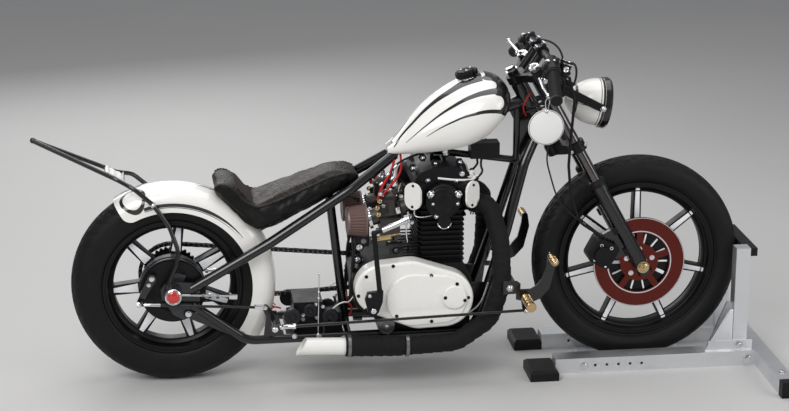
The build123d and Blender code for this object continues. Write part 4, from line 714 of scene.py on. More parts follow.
@dataclass
class Studio:
    """Camera at the photograph's place, soft lamps, a pale floor and a plain world."""

    camera_at: Vector = field(default_factory=lambda: Vector((-0.834, -6.1737, 2.3935)))
    yaw: float = math.radians(7.32)
    pitch: float = math.radians(16.59)
    focal_px: float = 2051.0
    photo_width_px: float = 789.0
    sensor_mm: float = 36.0
    floor_half: float = 30.0
    floor_colour: tuple = (0.56, 0.55, 0.54)
    floor_cloud: tuple = (0.7, 0.7, 0.69)
    world_colour: tuple = (0.86, 0.88, 0.92)
    world_light: float = 0.3
    # Name, place, aim, size in metres and watts of each lamp.
    panels: tuple = (
        ("key_panel", (-2.2, -3.2, 3.4), (0.0, 0.0, 0.4), 2.6, 128.0),
        ("fill_panel", (3.4, -2.6, 2.0), (0.2, 0.0, 0.5), 2.4, 52.0),
        ("top_panel", (0.0, 0.6, 3.6), (0.0, 0.0, 0.4), 3.2, 60.0),
        ("back_panel", (-1.0, 3.6, 2.2), (0.0, 0.0, 0.5), 2.4, 40.0),
    )

    def build(self) -> None:
        """Make the camera, the lamps, the floor and the world."""
        self.camera()
        self.lamps()
        self.floor()
        self.world()
        bpy.context.scene.view_settings.view_transform = "Standard"
        log.info("studio: camera, lamps, floor and world")

    def camera(self) -> None:
        """Put the camera where the photograph was taken from."""
        data = bpy.data.cameras.new("camera")
        data.sensor_width = self.sensor_mm
        data.lens = self.focal_px / self.photo_width_px * self.sensor_mm
        data.clip_end = 100.0
        level = math.cos(self.pitch)
        ahead = Vector((math.sin(self.yaw) * level, math.cos(self.yaw) * level, -math.sin(self.pitch)))
        camera = linked("camera", data)
        self.aim(camera, self.camera_at, ahead)
        bpy.context.scene.camera = camera

    def aim(self, thing: bpy.types.Object, at: Vector, ahead: Vector) -> None:
        """Put a camera or lamp at a place, looking along a direction."""
        thing.rotation_mode = "QUATERNION"
        thing.rotation_quaternion = ahead.to_track_quat("-Z", "Y")
        thing.location = at

    def lamps(self) -> None:
        """Four soft panels: a key over the camera's left, a fill from the right, one on top and one behind."""
        for name, at, aim, size, watts in self.panels:
            data = bpy.data.lights.new(name, "AREA")
            data.size = size
            data.energy = watts
            self.aim(linked(name, data), Vector(at), Vector(aim) - Vector(at))

    def floor(self) -> None:
        """A wide pale floor with a faint grain."""
        mesh = bpy.data.meshes.new("floor")
        shape = bmesh.new()
        bmesh.ops.create_grid(shape, x_segments=1, y_segments=1, size=self.floor_half)
        shape.to_mesh(mesh)
        shape.free()
        floor = linked("floor", mesh)
        made = Shader("floor_paint")
        made.set(Roughness=0.7)
        cloud = made.spread(made.noise(0.6, 4.0), 0.3, 0.7, 0.0, 0.2)
        made.to_shader("Base Color", made.blend(cloud, self.floor_colour, self.floor_cloud))
        made.bump(made.noise(90.0, 3.0), 0.0003, 0.2)
        floor.data.materials.append(made.material)

    def world(self) -> None:
        """A plain pale world."""
        world = bpy.data.worlds.new("world")
        world.use_nodes = True
        bpy.context.scene.world = world
        background = world.node_tree.nodes["Background"]
        background.inputs["Color"].default_value = (*self.world_colour, 1.0)
        background.inputs["Strength"].default_value = self.world_light


@dataclass
class Wheel:
    """A cast wheel's tyre, its polished spoke faces and its rim trim."""

    name: str
    body: Body
    x: float
    z: float
    outer_r: float
    half: float
    rim_r: float
    lip_half: float
    phase: float
    face_from: float
    face_to: float
    face_w: tuple
    spokes: int = 7
    steps: int = 360
    groove: float = 3.2
    block_steps: int = 9
    wall_steps: int = 8
    tread_rows: int = 17
    strip: tuple = (16.5, 19.5)

    def section(self) -> list[tuple[float, float]]:
        """Half of the tyre's section, from the bead to the middle of the tread.

        Returns:
            Pairs of y and radius.
        """
        rim, bead = self.rim_r, self.lip_half - 5.4
        start, foot = bead + 9, rim + 6.5
        bulge = rim + 0.42 * (self.outer_r - rim)
        points = [(bead, rim - 13), (bead, rim + 1.5), (bead + 5, rim + 4.5), (bead + 7, rim + 3.4),
                  (start, foot)]
        for step in range(1, self.wall_steps + 1):
            turn = math.pi / 2 * (step / self.wall_steps)
            points.append((start + (self.half - start) * math.sin(turn),
                           foot + (bulge - foot) * (1 - math.cos(turn)) ** 0.75))
        for step in range(1, self.tread_rows + 1):
            turn = math.pi / 2 * (step / self.tread_rows)
            points.append((self.half * math.cos(turn) ** 0.86,
                           bulge + (self.outer_r - bulge) * math.sin(turn) ** 0.72))
        return [(y, r) for y, r in points if y > 1.0] + [(0.0, self.outer_r)]

    def cut(self, share: float, column: int) -> float:
        """How deep the tread is cut at a place.

        Args:
            share: Distance from the middle line as a share of the half width.
            column: Step round the tyre.

        Returns:
            Depth of the groove there.
        """
        side = abs(share)
        wave = 0.035 if column % self.block_steps < self.block_steps / 2 else -0.035
        if abs(side - 0.2 - wave) < 0.045 or abs(side - 0.52 + wave) < 0.045:
            return self.groove
        slant = (column + round(side * 14)) % self.block_steps
        if 0.56 < side < 0.93 and slant < 2:
            return self.groove * (1.0 if side < 0.85 else 0.55)
        if 0.24 < side < 0.48 and slant == 4:
            return self.groove * 0.5
        return 0.0

    def tyre(self) -> None:
        """Spin the closed section round, then press the grooves in."""
        half = self.section()
        outline = half + [(-y, r) for y, r in reversed(half[:-1])]
        made = bmesh.new()
        verts = [made.verts.new((self.x + r, y, self.z)) for y, r in outline]
        edges = [made.edges.new(ends) for ends in zip(verts, verts[1:])]
        edges.append(made.edges.new((verts[-1], verts[0])))
        bmesh.ops.spin(made, geom=verts + edges, cent=(self.x, 0, self.z), axis=(0, 1, 0), angle=2 * math.pi,
                       steps=self.steps, use_merge=True)
        close_up(made, 0.01)
        lowest_tread = (self.rim_r + self.outer_r) / 2
        for vert in made.verts:
            out = Vector((vert.co.x - self.x, 0, vert.co.z - self.z))
            if out.length >= lowest_tread:
                column = round(math.atan2(out.z, out.x) / (2 * math.pi) * self.steps)
                vert.co -= out.normalized() * self.cut(vert.co.y / self.half, column)
        work = Work()
        work.take(made)
        name = f"{self.name}_tyre"
        work.finish(name, FINISHES["tyre_rubber"], self.body, replaced=(name,), sharp=28.0)

    def faces(self) -> None:
        """Bright machined strips on both sides of the spokes."""
        work = Work()
        near, far = (wide / 2 for wide in self.face_w)
        tip = self.face_to
        corners = ((self.face_from, -near), (tip - 2, -far), (tip, 2 - far), (tip, far - 2), (tip - 2, far),
                   (self.face_from, near))
        middle = Vector((self.x, 0, self.z))
        for degrees in around(self.spokes, self.phase):
            way = spoke(degrees)
            aside = Vector((-way.z, 0, way.x))
            spots = [middle + way * reach + aside * wide for reach, wide in corners]
            for side in SIDES:
                work.plate([(spot.x, spot.z) for spot in spots], *(side * y for y in self.strip), 0.7)
        work.finish(f"{self.name}_spoke_faces", SILVER_FACE, self.body)

    def trim(self) -> None:
        """Rolled edges on each side of the rim."""
        work = Work()
        rim, inner = self.rim_r, self.rim_r - 34
        for side in SIDES:
            work.ring((self.x, side * (self.lip_half - 2), self.z), across(side),
                      [(0, rim - 9), (4.2, rim - 7), (5, rim - 3), (4.2, rim + 0.5), (0, rim + 1.5)], 96)
            work.ring((self.x, side * 17, self.z), across(side),
                      [(0, inner), (2.4, inner + 0.6), (3, inner + 3), (2.4, inner + 5.4), (0, inner + 6)], 96)
        work.finish(f"{self.name}_rim_trim", FINISHES["cast_black"], self.body)

    def build(self) -> None:
        """Make the tyre, the faces and the trim."""
        self.tyre()
        self.faces()
        self.trim()


WHEELS = (
    Wheel("rear", Body.REAR_WHEEL, x=0.0, z=315.0, outer_r=315.0, half=65.0, rim_r=217.0, lip_half=55.0,
          phase=82.0, face_from=107.0, face_to=185.0, face_w=(29.0, 15.0)),
    Wheel("front", Body.FRONT_WHEEL, x=WHEELBASE, z=FRONT_AXLE_Z, outer_r=336.0, half=52.0, rim_r=255.0,
          lip_half=32.0, phase=90.0, face_from=100.0, face_to=233.0, face_w=(18.0, 13.5)),
)


@dataclass
class FrontBrake:
    """Ribs and a drum inside the disc, the disc's rings, bolts and painted shade of its holes, and the caliper's
    fittings.
    """

    axle: Vector = field(default_factory=lambda: Vector((WHEELBASE, 0.0, FRONT_AXLE_Z)))
    disc_face: float = -69.0
    ribs: int = 14
    wide_ribs: tuple = (3, 9)
    caliper_y: float = -118.0
    caliper_angle: float = 159.0
    nut_y: float = 122.0

    def at(self, y: float) -> Vector:
        """A point of the axle's middle line."""
        return self.axle + across(y)

    def hub_ribs(self) -> None:
        """Thin bright ribs that show between the hub and the disc's carrier, and the drum behind them."""
        work = Work()
        for number, degrees in enumerate(around(self.ribs, 102)):
            wide = 11 if number in self.wide_ribs else 5
            work.block(self.at(-60) + spoke(degrees, 76), (36, 6, wide), (0, -degrees, 0), 1.2)
        work.finish("front_hub_ribs", SILVER_FACE, Body.FRONT_WHEEL)
        work = Work()
        work.turned(self.at(-57), across(1), [(0, 56), (0, 101), (26, 101), (26, 97), (5, 95), (5, 56)], 72)
        work.finish("front_hub_drum", FINISHES["cast_black"], Body.FRONT_WHEEL)

    def disc(self) -> None:
        """Bright inner ring, a turned rim line, carrier bolts, and thin dark discs of painted shade for the
        drilled holes.
        """
        work, holes = Work(), Work()
        for middle, wide, tall in ((104, 2.6, 1.6), (147.5, 1.4, 0.5)):
            near, far = middle - wide, middle + wide * 0.4
            work.ring(self.at(self.disc_face + 0.5), RIGHT,
                      [(0, near), (tall + 0.5, near), (tall + 0.5, far), (0, far)], 96)
        for degrees in around(5, 18):
            work.bolt(self.at(self.disc_face) + spoke(degrees, 44), RIGHT, 7, 1.6)
        work.finish("disc_trim", BOLT_CHROME, Body.FRONT_WHEEL)
        # Each drilled hole is a thin dark disc on the face: painted shade, not an opening.
        for number, degrees in enumerate(around(36)):
            spot = spoke(degrees + (2 if number % 3 else 0), (118, 127, 136)[number % 3])
            holes.turned(self.at(self.disc_face + 0.1) + spot, RIGHT,
                         [(0, 0), (0.35, 0), (0.35, 2.6), (0, 2.6)], 10)
        holes.finish("disc_hole_shade", DARK_METAL, Body.FRONT_WHEEL)

    def caliper(self) -> None:
        """Bolts, pistons and cooling ribs of the caliper."""
        bolts, dark = Work(), Work()
        out, up = spoke(self.caliper_angle), spoke(self.caliper_angle - 90)
        middle = self.at(self.caliper_y) + out * 138
        for along, aside in ((-34, -38), (36, -30), (30, 24), (-26, 26)):
            head = Head.DOME if aside < 0 else Head.SOCKET
            bolts.bolt(middle + out * along * 0.6 + up * aside, RIGHT, 6.5, 8, head)
        bolts.finish("caliper_bolts", BOLT_CHROME, Body.FRONT_END)
        for side in SIDES:
            dark.turned(middle + up * (side * 15) + across(6), RIGHT,
                        [(0, 17), (6, 17), (8, 15), (8, 12), (6.5, 11), (6.5, 0), (0, 0)], 28)
        for number in range(5):
            spot = middle + out * (number * 10 - 20) + up * 40 + across(8)
            dark.block(spot, (3, 22, 12), (0, -self.caliper_angle, 0), 0.8)
        dark.finish("caliper_pistons", FINISHES["engine_black"], Body.FRONT_END)

    def axle_ends(self) -> None:
        """A brass-toned castle nut with its washer on each end of the axle."""
        work = Work()
        for side in SIDES:
            tip, way = self.at(side * self.nut_y), across(side)
            work.turned(tip, way, [(0, 0), (0, 19), (2.5, 19), (2.5, 0)], 28)
            work.turned(tip, way, [(2, 0), (2, 15), (11, 15), (12, 13.5), (12, 0)], 6)
            for degrees in around(6, 30):
                work.block(tip + way * 14 + spoke(degrees, 9.5), (5, 6, 4.5), (0, -degrees, 0), 0.6)
            work.rod(tip + way * 12, tip + way * 19, 6.5, sides=14, edge=1.2)
        work.finish("front_axle_nuts", BRASS_FITTING, Body.FRONT_END)

    def build(self) -> None:
        """Make every part of the front brake."""
        self.hub_ribs()
        self.disc()
        self.caliper()
        self.axle_ends()


@dataclass(frozen=True)
class TankPaint(Paint):
    """Ivory tank paint with black scallop lines, a crown line and a black nose."""

    crown_half: float = 0.0055
    # Each line: its places along the tank in millimetres, and its half thickness at both ends in metres.
    lines: tuple = (
        (((700, 742), (752, 809), (813, 871), (882, 919), (926, 942), (972, 956)), 0.002, 0.0075),
        (((735, 762), (807, 828), (875, 877), (940, 911), (987, 923), (1012, 924)), 0.001, 0.007),
        (((796, 786), (872, 834), (935, 861), (991, 870), (1036, 860)), 0.001, 0.007),
    )
    # Heights in millimetres, and how far back the black nose reaches there.
    nose: tuple = ((800, 1047), (842, 1041), (858, 1025), (870, 1021), (882, 1031), (894, 1033), (908, 1027),
                   (922, 1003), (930, 1013), (938, 1017), (948, 1006), (956, 974), (961, 988),
                   (968, 985), (978, 960))

    def shader(self) -> Shader:
        """The paint with its lines."""
        made = super().shader()
        x, y, z = made.split(made.object_coords)
        masks = []
        for points, thin, thick in self.lines:
            placed = [(place(px, 0, 0).x, pz * MM) for px, pz in points]
            first, last = placed[0][0], placed[-1][0]
            near = made.inside(made.away(z, made.line(x, placed)), made.spread(x, first, last, thin, thick))
            masks.append(made.both(near, made.beyond(x, first, 0.0006), made.inside(x, last + 0.004, 0.0006)))
        edge = made.line(z, [(pz * MM, place(px, 0, 0).x) for pz, px in self.nose])
        masks.append(made.inside(edge, x))
        masks.append(made.inside(made.maths("ABSOLUTE", y), self.crown_half))
        self.tint(made, made.blend(made.either(*masks), self.colour, LINE_BLACK))
        return made


@dataclass(frozen=True)
class FenderPaint(Paint):
    """Ivory fender paint with two black lines along each side, a black line of painted shade along the crown's
    ridge, and a ringed panel at the tail.
    """

    half: float = 0.076
    stripe_r: float = 0.274
    stripe_turns: tuple = (35.5, 107.0)
    ring_at: tuple = (111.4, 0.059)
    ring_size: tuple = (7.2, 0.062)

    def shader(self) -> Shader:
        """The paint with its lines."""
        made = super().shader()
        x, y, z = made.split(made.object_coords)
        ahead, up = made.maths("SUBTRACT", x, REAR_AXLE.x), made.maths("SUBTRACT", z, REAR_AXLE.z)
        out = made.length(ahead, up)
        turn = made.maths("MULTIPLY", made.maths("ARCTAN2", up, ahead), 180.0 / math.pi)
        side = made.maths("ABSOLUTE", y)
        # Distance over the surface from the stripe's own radius, first up the side and then over the crown.
        over = made.maths("ADD", made.maths("SUBTRACT", out, self.stripe_r),
                          made.maths("SUBTRACT", self.half, side))
        first, last = self.stripe_turns
        stretch = made.both(made.inside(turn, last, 0.3), made.beyond(turn, first, 0.3))
        broad = made.both(made.inside(made.maths("ABSOLUTE", over),
                                      made.spread(turn, 34.0, 64.0, 0.0004, 0.0056)),
                          stretch)
        thin = made.both(made.inside(made.away(over, -0.008), made.spread(turn, 34.0, 60.0, 0.0, 0.0012)),
                         stretch)
        ring = made.length(*(made.maths("DIVIDE", made.maths("SUBTRACT", source, middle), size)
                             for source, middle, size in zip((turn, over), self.ring_at, self.ring_size)))
        loop = made.both(made.inside(ring, 1.08, 0.015), made.beyond(ring, 0.8, 0.015))
        # The black line along the crown is painted shade of the fender's ridge, not a pinstripe.
        crown = made.both(made.inside(side, 0.0045), made.inside(turn, 103.0, 0.3))
        self.tint(made, made.blend(made.either(broad, thin, loop, crown), self.colour, LINE_BLACK))
        return made


@dataclass
class Exhaust:
    """Cloth wrap along both pipes, its clamps, and the finned collars at the head."""
    pipe_r: float = 29.0
    muffler_r: float = 33.0
    pitch: float = 31.0
    lap: float = 2.4
    lap_edge: float = 0.12
    fat_length: float = 192.0
    fat_taper: float = 26.0
    step: float = 3.0
    fat_clamp: int = 66
    bends: tuple = (50.0, 70.0, 90.0, 90.0, 90.0, 60.0)

    def route(self, side: int) -> list[Vector]:
        """The pipe's middle line.

        Args:
            side: -1 for the right pipe, 1 for the left.

        Returns:
            Points from just outside the head's port to the rear end of the fat part.
        """
        points = [(946, -76, 567), (1000, -88, 558), (1023, -150, 450), (1024, -184, 330), (985, -190, 214),
                  (880, -190, 142), (740, -190, 136), (528, -190, 144)]
        return rounded_route([(x, -side * y, z) for x, y, z in points], self.bends, self.step)

    def outline(self, length: float) -> Callable[[float, float], float]:
        """The wrap's radius by distance and angle, each turn lapped over the last one.

        Args:
            length: Length of the route.
        """
        def reach(along: float, turn: float) -> float:
            """Radius at a place."""
            share = (along / self.pitch - turn / (2 * math.pi)) % 1.0
            lapped = self.lap * (1 - share if share > self.lap_edge else share / self.lap_edge)
            fat = min(max((along - length + self.fat_length) / self.fat_taper, 0.0), 1.0)
            crease = 0.35 * math.sin(turn * 7 + along * 0.09) * math.sin(along * 0.31)
            return self.pipe_r - 1.4 + (self.muffler_r - self.pipe_r) * fat + lapped + crease
        return reach

    def wraps(self) -> None:
        """Both wraps, and the clamps that hold their ends."""
        cloth, clamps = Work(), Work()
        for side in SIDES:
            route = self.route(side)
            length = sum((b - a).length for a, b in zip(route, route[1:]))
            cloth.sleeve(route, self.outline(length), 36)
            fat_start = len(route) - self.fat_clamp
            for index in (4, fat_start, len(route) - 5):
                start = route[index]
                way = (route[index + 1] - start).normalized()
                reach = self.pipe_r + 2.5 if index < fat_start else self.muffler_r + 2.2
                clamps.ring(start, way, [(-5, reach - 2), (-5, reach), (5, reach), (5, reach - 2)], 40)
                out = Vector((0, side, -0.5)).cross(way).normalized()
                seat, aside = start + out * (reach + 2), way.cross(out)
                clamps.block(seat, (11, 8, 7), edge=1.5)
                clamps.rod(seat - aside * 8, seat + aside * 9, 2.6, sides=8)
        cloth.finish("exhaust_wrap", FINISHES["pipe_wrap"], replaced=("exhaust_pipes",), sharp=60.0)
        clamps.finish("wrap_clamps", GREY_METAL)

    def ports(self) -> None:
        """Finned collars where the pipes leave the head."""
        work = Work()
        for side in SIDES:
            start, end = Vector((938, side * 76, 568)), Vector((1000, side * 88, 558))
            way = (end - start).normalized()
            for number in range(3):
                spot = start + way * (6 + 7 * number)
                work.ring(spot, way, [(0, 30), (0, 42 - number), (3.4, 42 - number), (3.4, 30)], 36)
            work.rod(start, start + way * 24, 33, sides=32)
            for up in (-1, 1):
                work.bolt(start + way * 4 + Vector((0, up * 30, up * 22)), way, 5.5, 12)
        work.finish("exhaust_collars", BOLT_BLACK)

    def build(self) -> None:
        """Make the wraps and the collars."""
        self.wraps()
        self.ports()


@dataclass
class DriveChain:
    """The chain's links, round both sprockets."""

    rear_r: float = 99.5
    drive_r: float = 55.0
    drive: tuple = (600.0, 300.0)
    rear: tuple = (0.0, 315.0)
    pitch: float = 15.875
    y: float = 86.0
    plate_r: float = 6.6
    plate_thick: float = 1.6

    def loop(self) -> list[Vector]:
        """Place of each pin round the loop."""
        (x1, z1), (x2, z2), r1, r2 = self.rear, self.drive, self.rear_r, self.drive_r
        heading = math.atan2(z2 - z1, x2 - x1)
        span = math.hypot(x2 - x1, z2 - z1)
        spread = math.acos((r1 - r2) / span)
        run = span * math.sin(spread)
        rear_wrap, drive_wrap = (2 * math.pi - 2 * spread) * r1, 2 * spread * r2
        total = 2 * run + rear_wrap + drive_wrap
        count = 2 * round(total / self.pitch / 2)
        places = []
        for number in range(count):
            along = number * total / count
            x, z, r, straight = x2, z2, r2, 0.0
            if along < run:
                x, z, r, out, straight = x1, z1, r1, heading + spread, along
            elif along < run + drive_wrap:
                out = heading + spread - (along - run) / r2
            elif along < 2 * run + drive_wrap:
                out, straight = heading - spread, along - run - drive_wrap
            else:
                x, z, r, out = x1, z1, r1, heading - spread - (along - 2 * run - drive_wrap) / r1
            places.append(Vector((x + r * math.cos(out) + straight * math.sin(out), self.y,
                                  z + r * math.sin(out) - straight * math.cos(out))))
        return places

    def build(self) -> None:
        """Side plates, rollers and pins of every link."""
        links, pins = Work(), Work()
        places = self.loop()
        for number, start in enumerate(places):
            end = places[(number + 1) % len(places)]
            along = (end - start).normalized()
            up = Vector((-along.z, 0, along.x))
            outline = []
            for centre, reach in ((start, self.plate_r), (end, -self.plate_r)):
                for step in range(5):
                    turn = math.radians(60 + 60 * step)
                    outline.append(centre + along * math.cos(turn) * reach + up * (math.sin(turn) * reach))
            inner = 3.6 if number % 2 else 5.6
            for side in SIDES:
                links.plate([(spot.x, spot.z) for spot in outline], self.y + side * inner,
                            self.y + side * (inner + self.plate_thick))
            pins.rod(start - across(8.2), start + across(8.2), 2.6, sides=8)
            pins.rod(start - across(3.4), start + across(3.4), 5.0, sides=10)
        links.finish("chain_plates", DARK_METAL, replaced=("drive_chain",))
        pins.finish("chain_rollers", GREY_METAL)


@dataclass(frozen=True)
class LampPaint(Paint):
    """Ivory lamp shell with two black bands, a thin line and a tapered line along each side."""

    # Middle and half width of each band, in metres behind the lamp's rim.
    bands: tuple = ((-0.106, 0.0035), (-0.034, 0.0012), (-0.0245, 0.0035))

    def shader(self) -> Shader:
        """The paint with its bands."""
        made = super().shader()
        x, _, z = made.split(made.object_coords)
        front, ahead = Headlight.axis()
        origin = place(*front)
        dx, dz = made.maths("SUBTRACT", x, origin.x), made.maths("SUBTRACT", z, origin.z)
        along = made.maths("ADD", made.maths("MULTIPLY", dx, ahead.x), made.maths("MULTIPLY", dz, ahead.z))
        rise = made.maths("SUBTRACT", made.maths("MULTIPLY", dz, ahead.x), made.maths("MULTIPLY", dx, ahead.z))
        masks = [made.inside(made.away(along, middle), half) for middle, half in self.bands]
        masks.append(made.inside(made.maths("ABSOLUTE", rise), made.spread(along, -0.1, -0.04, 0.0006, 0.0032)))
        self.tint(made, made.blend(made.either(*masks), self.colour, LINE_BLACK))
        return made


RAKE = math.radians(28.8)


def fork(along: float, forward: float = 0.0, y: float = 0.0) -> Vector:
    """A point beside the fork, in millimetres.

    Args:
        along: Distance up the fork from the axle.
        forward: Distance ahead of the fork's line.
        y: Distance to the left.

    Returns:
        The point.
    """
    return Vector((WHEELBASE - along * math.sin(RAKE) + forward * math.cos(RAKE), y,
                   FRONT_AXLE_Z + along * math.cos(RAKE) + forward * math.sin(RAKE)))


class Headlight:
    """Reflector, bulb, glass flutes and side bolts of the headlight."""

    TILT = math.radians(8.0)
    DISH_RADII = (9, 16, 24, 32, 40, 48, 56, 63, 68)
    GLASS_R = 66

    @classmethod
    def axis(cls) -> tuple[Vector, Vector]:
        """Middle of the lamp's rim and the way that it looks."""
        return fork(500.3, 151.8), Vector((math.cos(cls.TILT), 0, -math.sin(cls.TILT)))

    def build(self) -> None:
        """Make the dish, the bulb and the fittings."""
        front, ahead = self.axis()
        dish, bulb, flutes, bolts = Work(), Work(), Work(), Work()
        curve = [(60 * (r / 68) ** 2 - 70, r) for r in self.DISH_RADII]
        dish.ring(front, ahead, curve + [(along - 1.5, r) for along, r in reversed(curve)], 48)
        dish.finish("lamp_reflector", FINISHES["chrome"], Body.FRONT_END)
        bulb.turned(front, ahead, [(-68, 0), (-68, 8), (-48, 8), (-46, 6), (-30, 6), (-26, 4), (-24, 0)], 20)
        bulb.turned(front, ahead, [(-22, 0), (-22, 9), (-19, 8), (-17, 0)], 20)
        bulb.finish("lamp_bulb", GREY_METAL, Body.FRONT_END, slot="chrome")
        for y in range(-60, 61, 10):
            half = math.sqrt(self.GLASS_R ** 2 - y ** 2)
            start = front + ahead * -5.4 + across(y)
            up = Vector((-ahead.z, 0, ahead.x))
            flutes.rod(start - up * half, start + up * half, 1.3, sides=6)
        flutes.finish("lamp_flutes", FINISHES["lamp_glass"], Body.FRONT_END)
        root = front - ahead * 30
        for side in SIDES:
            bolts.bolt(root + across(side * 94), across(side), 9, 8, Head.DOME)
        bolts.bolt(front - ahead * 8 + DOWN * 81, DOWN, 4, 5)
        bolts.finish("lamp_bolts", BOLT_CHROME, Body.FRONT_END)


@dataclass(frozen=True)
class TooledLeather(Rubber):
    """Black leather with a carved and stained top."""

    top: tuple = (0.022, 0.011, 0.007)
    rubbed: tuple = (0.09, 0.04, 0.03)

    def shader(self) -> Shader:
        """The leather, carved where it faces up."""
        made = super().shader()
        carved_area = made.spread(made.split(made.normals)[2], 0.5, 0.62)
        curl = made.scaled(made.noise(16.0, 1.5, 0.4), (0.05, 0.05, 0.05))
        warped = made.nodes.new("ShaderNodeVectorMath")
        warped.operation = "ADD"
        for source, socket in zip((made.object_coords, curl), warped.inputs):
            made.join(source, socket)
        leaves = made.cells(30.0, "SMOOTH_F1", warped.outputs[0])
        veins = made.maths("ABSOLUTE", made.maths("SINE", made.maths("MULTIPLY", leaves, 16.0)))
        stain = made.blend(made.spread(veins, 0.2, 0.9), self.colour, self.top)
        worn = made.blend(made.spread(made.noise(11.0, 5.0), 0.6, 0.8, 0.0, 0.2), stain, self.rubbed)
        made.to_shader("Base Color", made.blend(carved_area, self.colour, worn))
        grain = made.spread(made.cells(520.0), 0.0, 0.5, 0.0, 0.12)
        made.bump(made.maths("ADD", grain, made.both(veins, carved_area)), 0.0016, 0.8)
        made.set(Coat_Weight=0.06, Coat_Roughness=0.3, IOR=1.3, Sheen_Weight=0.0)
        return made


@dataclass
class Seat:
    """The pad as one stuffed leather cushion with a laced edge."""

    outline: tuple = ((596, 652), (594, 664), (560, 676), (500, 666), (415, 634), (330, 602), (290, 584),
                      (264, 574),
                      (246, 584), (226, 602), (204, 632), (186, 652), (160, 662), (138, 654), (131, 642), (150,
                                                                                                           620),
                      (176, 594), (214, 556), (236, 530), (262, 503), (296, 512), (330, 526), (420, 566), (500,
                                                                                                           605))
    widths: tuple = ((120, 80), (150, 92), (200, 108), (260, 115), (330, 115), (420, 106), (520, 84), (600, 60))
    voxel: float = 7.0
    cap: float = 10.0
    frames: int = 16
    pressure: float = 4.0
    lace_gap: float = 6.5

    def half_width(self, x: float) -> float:
        """Half the pad's width at a place along it."""
        for (x1, w1), (x2, w2) in zip(self.widths, self.widths[1:]):
            if x <= x2:
                share = min(max((x - x1) / (x2 - x1), 0.0), 1.0)
                return w1 + (w2 - w1) * share * share * (3 - 2 * share)
        return self.widths[-1][1]

    def blank(self) -> bmesh.types.BMesh:
        """The pad before it is stuffed: the outline drawn out across the bike.

        Returns:
            The mesh, in millimetres.
        """
        made = drawn_out(self.outline, -1.0, 1.0)
        for vert in made.verts:
            vert.co.y *= self.half_width(vert.co.x)
        return made

    def stuffed(self) -> bpy.types.Mesh:
        """Returns:
            The mesh, in metres.
        """
        mesh = bpy.data.meshes.new("seat_blank")
        made = self.blank()
        made.to_mesh(mesh)
        made.free()
        mesh.transform(TO_METRES)
        holder = linked("seat_blank", mesh)
        remesh = holder.modifiers.new("voxels", "REMESH")
        remesh.mode = "VOXEL"
        remesh.voxel_size = self.voxel * MM
        smooth = holder.modifiers.new("round", "SMOOTH")
        smooth.factor = 0.6
        smooth.iterations = 7
        graph = bpy.context.evaluated_depsgraph_get()
        even = bpy.data.meshes.new_from_object(holder.evaluated_get(graph))
        bpy.data.objects.remove(holder)
        before = [vert.co.copy() for vert in even.vertices]
        pad = linked("seat_pad", even)
        cloth = pad.modifiers.new("cloth", "CLOTH")
        cloth.settings.use_pressure = True
        cloth.settings.uniform_pressure_force = self.pressure
        cloth.settings.effector_weights.gravity = 0.0
        cloth.point_cache.frame_end = self.frames
        for number in range(1, self.frames + 1):
            bpy.context.scene.frame_set(number)
        graph = bpy.context.evaluated_depsgraph_get()
        swollen = bpy.data.meshes.new_from_object(pad.evaluated_get(graph))
        bpy.data.objects.remove(pad)
        bpy.context.scene.frame_set(1)
        for vert, rest in zip(swollen.vertices, before):
            moved = vert.co - rest
            if moved.length > self.cap * MM:
                vert.co = rest + moved.normalized() * self.cap * MM
        return swollen

    def build(self) -> None:
        """Make the pad and lace its edge."""
        mesh = self.stuffed()
        mesh.transform(Matrix.Diagonal((1000.0, 1000.0, 1000.0, 1.0)))
        work = Work()
        work.shape.from_mesh(mesh)
        tree = BVHTree.FromBMesh(work.shape)
        pad = work.finish("seat_cushion", TooledLeather("seat_leather", (0.004, 0.0034, 0.003), 0.5, 0.01),
                          replaced=("seat",), slot="dark_leather", sharp=180.0)
        soft = pad.modifiers.new("soft", "SUBSURF")
        soft.levels = soft.render_levels = 1
        self.lacing(tree)

    def lacing(self, tree: BVHTree) -> None:
        """A rolled edge with leather lace round it, along both top edges.

        Args:
            tree: The stuffed pad, in millimetres.
        """
        roll, laces = Work(), Work()
        crest = [Vector((x, 0, z)) for x, z in self.outline[1:15]]
        fine = []
        for start, end in zip(crest, crest[1:]):
            parts = max(1, round((end - start).length / self.lace_gap))
            fine.extend(start.lerp(end, number / parts) for number in range(parts))
        for side in SIDES:
            places = []
            for spot in fine:
                hit, normal = tree.find_nearest(Vector((spot.x, side * (self.half_width(spot.x) + 4),
                                                        spot.z + 10)))[:2]
                places.append(hit + normal * 0.6)
            last = len(places) - 1
            smooth = [sum((places[max(0, min(last, i + k))] for k in range(-2, 3)), Vector()) / 5
                      for i in range(last + 1)]
            roll.sleeve(smooth, lambda along, turn: 3.6, 10)
            for index in range(1, len(smooth) - 1, 2):
                way = (smooth[index + 1] - smooth[index - 1]).normalized()
                laces.ring(smooth[index] - way * 0.6, way, [(-1.7, 3.4), (-1.2, 5.2), (1.2, 5.2), (1.7, 3.4)],
                           12)
        roll.finish("seat_edge_roll", BLACK_LEAD, slot="dark_leather")
        laces.finish("seat_lacing", BLACK_LEAD, slot="dark_leather")


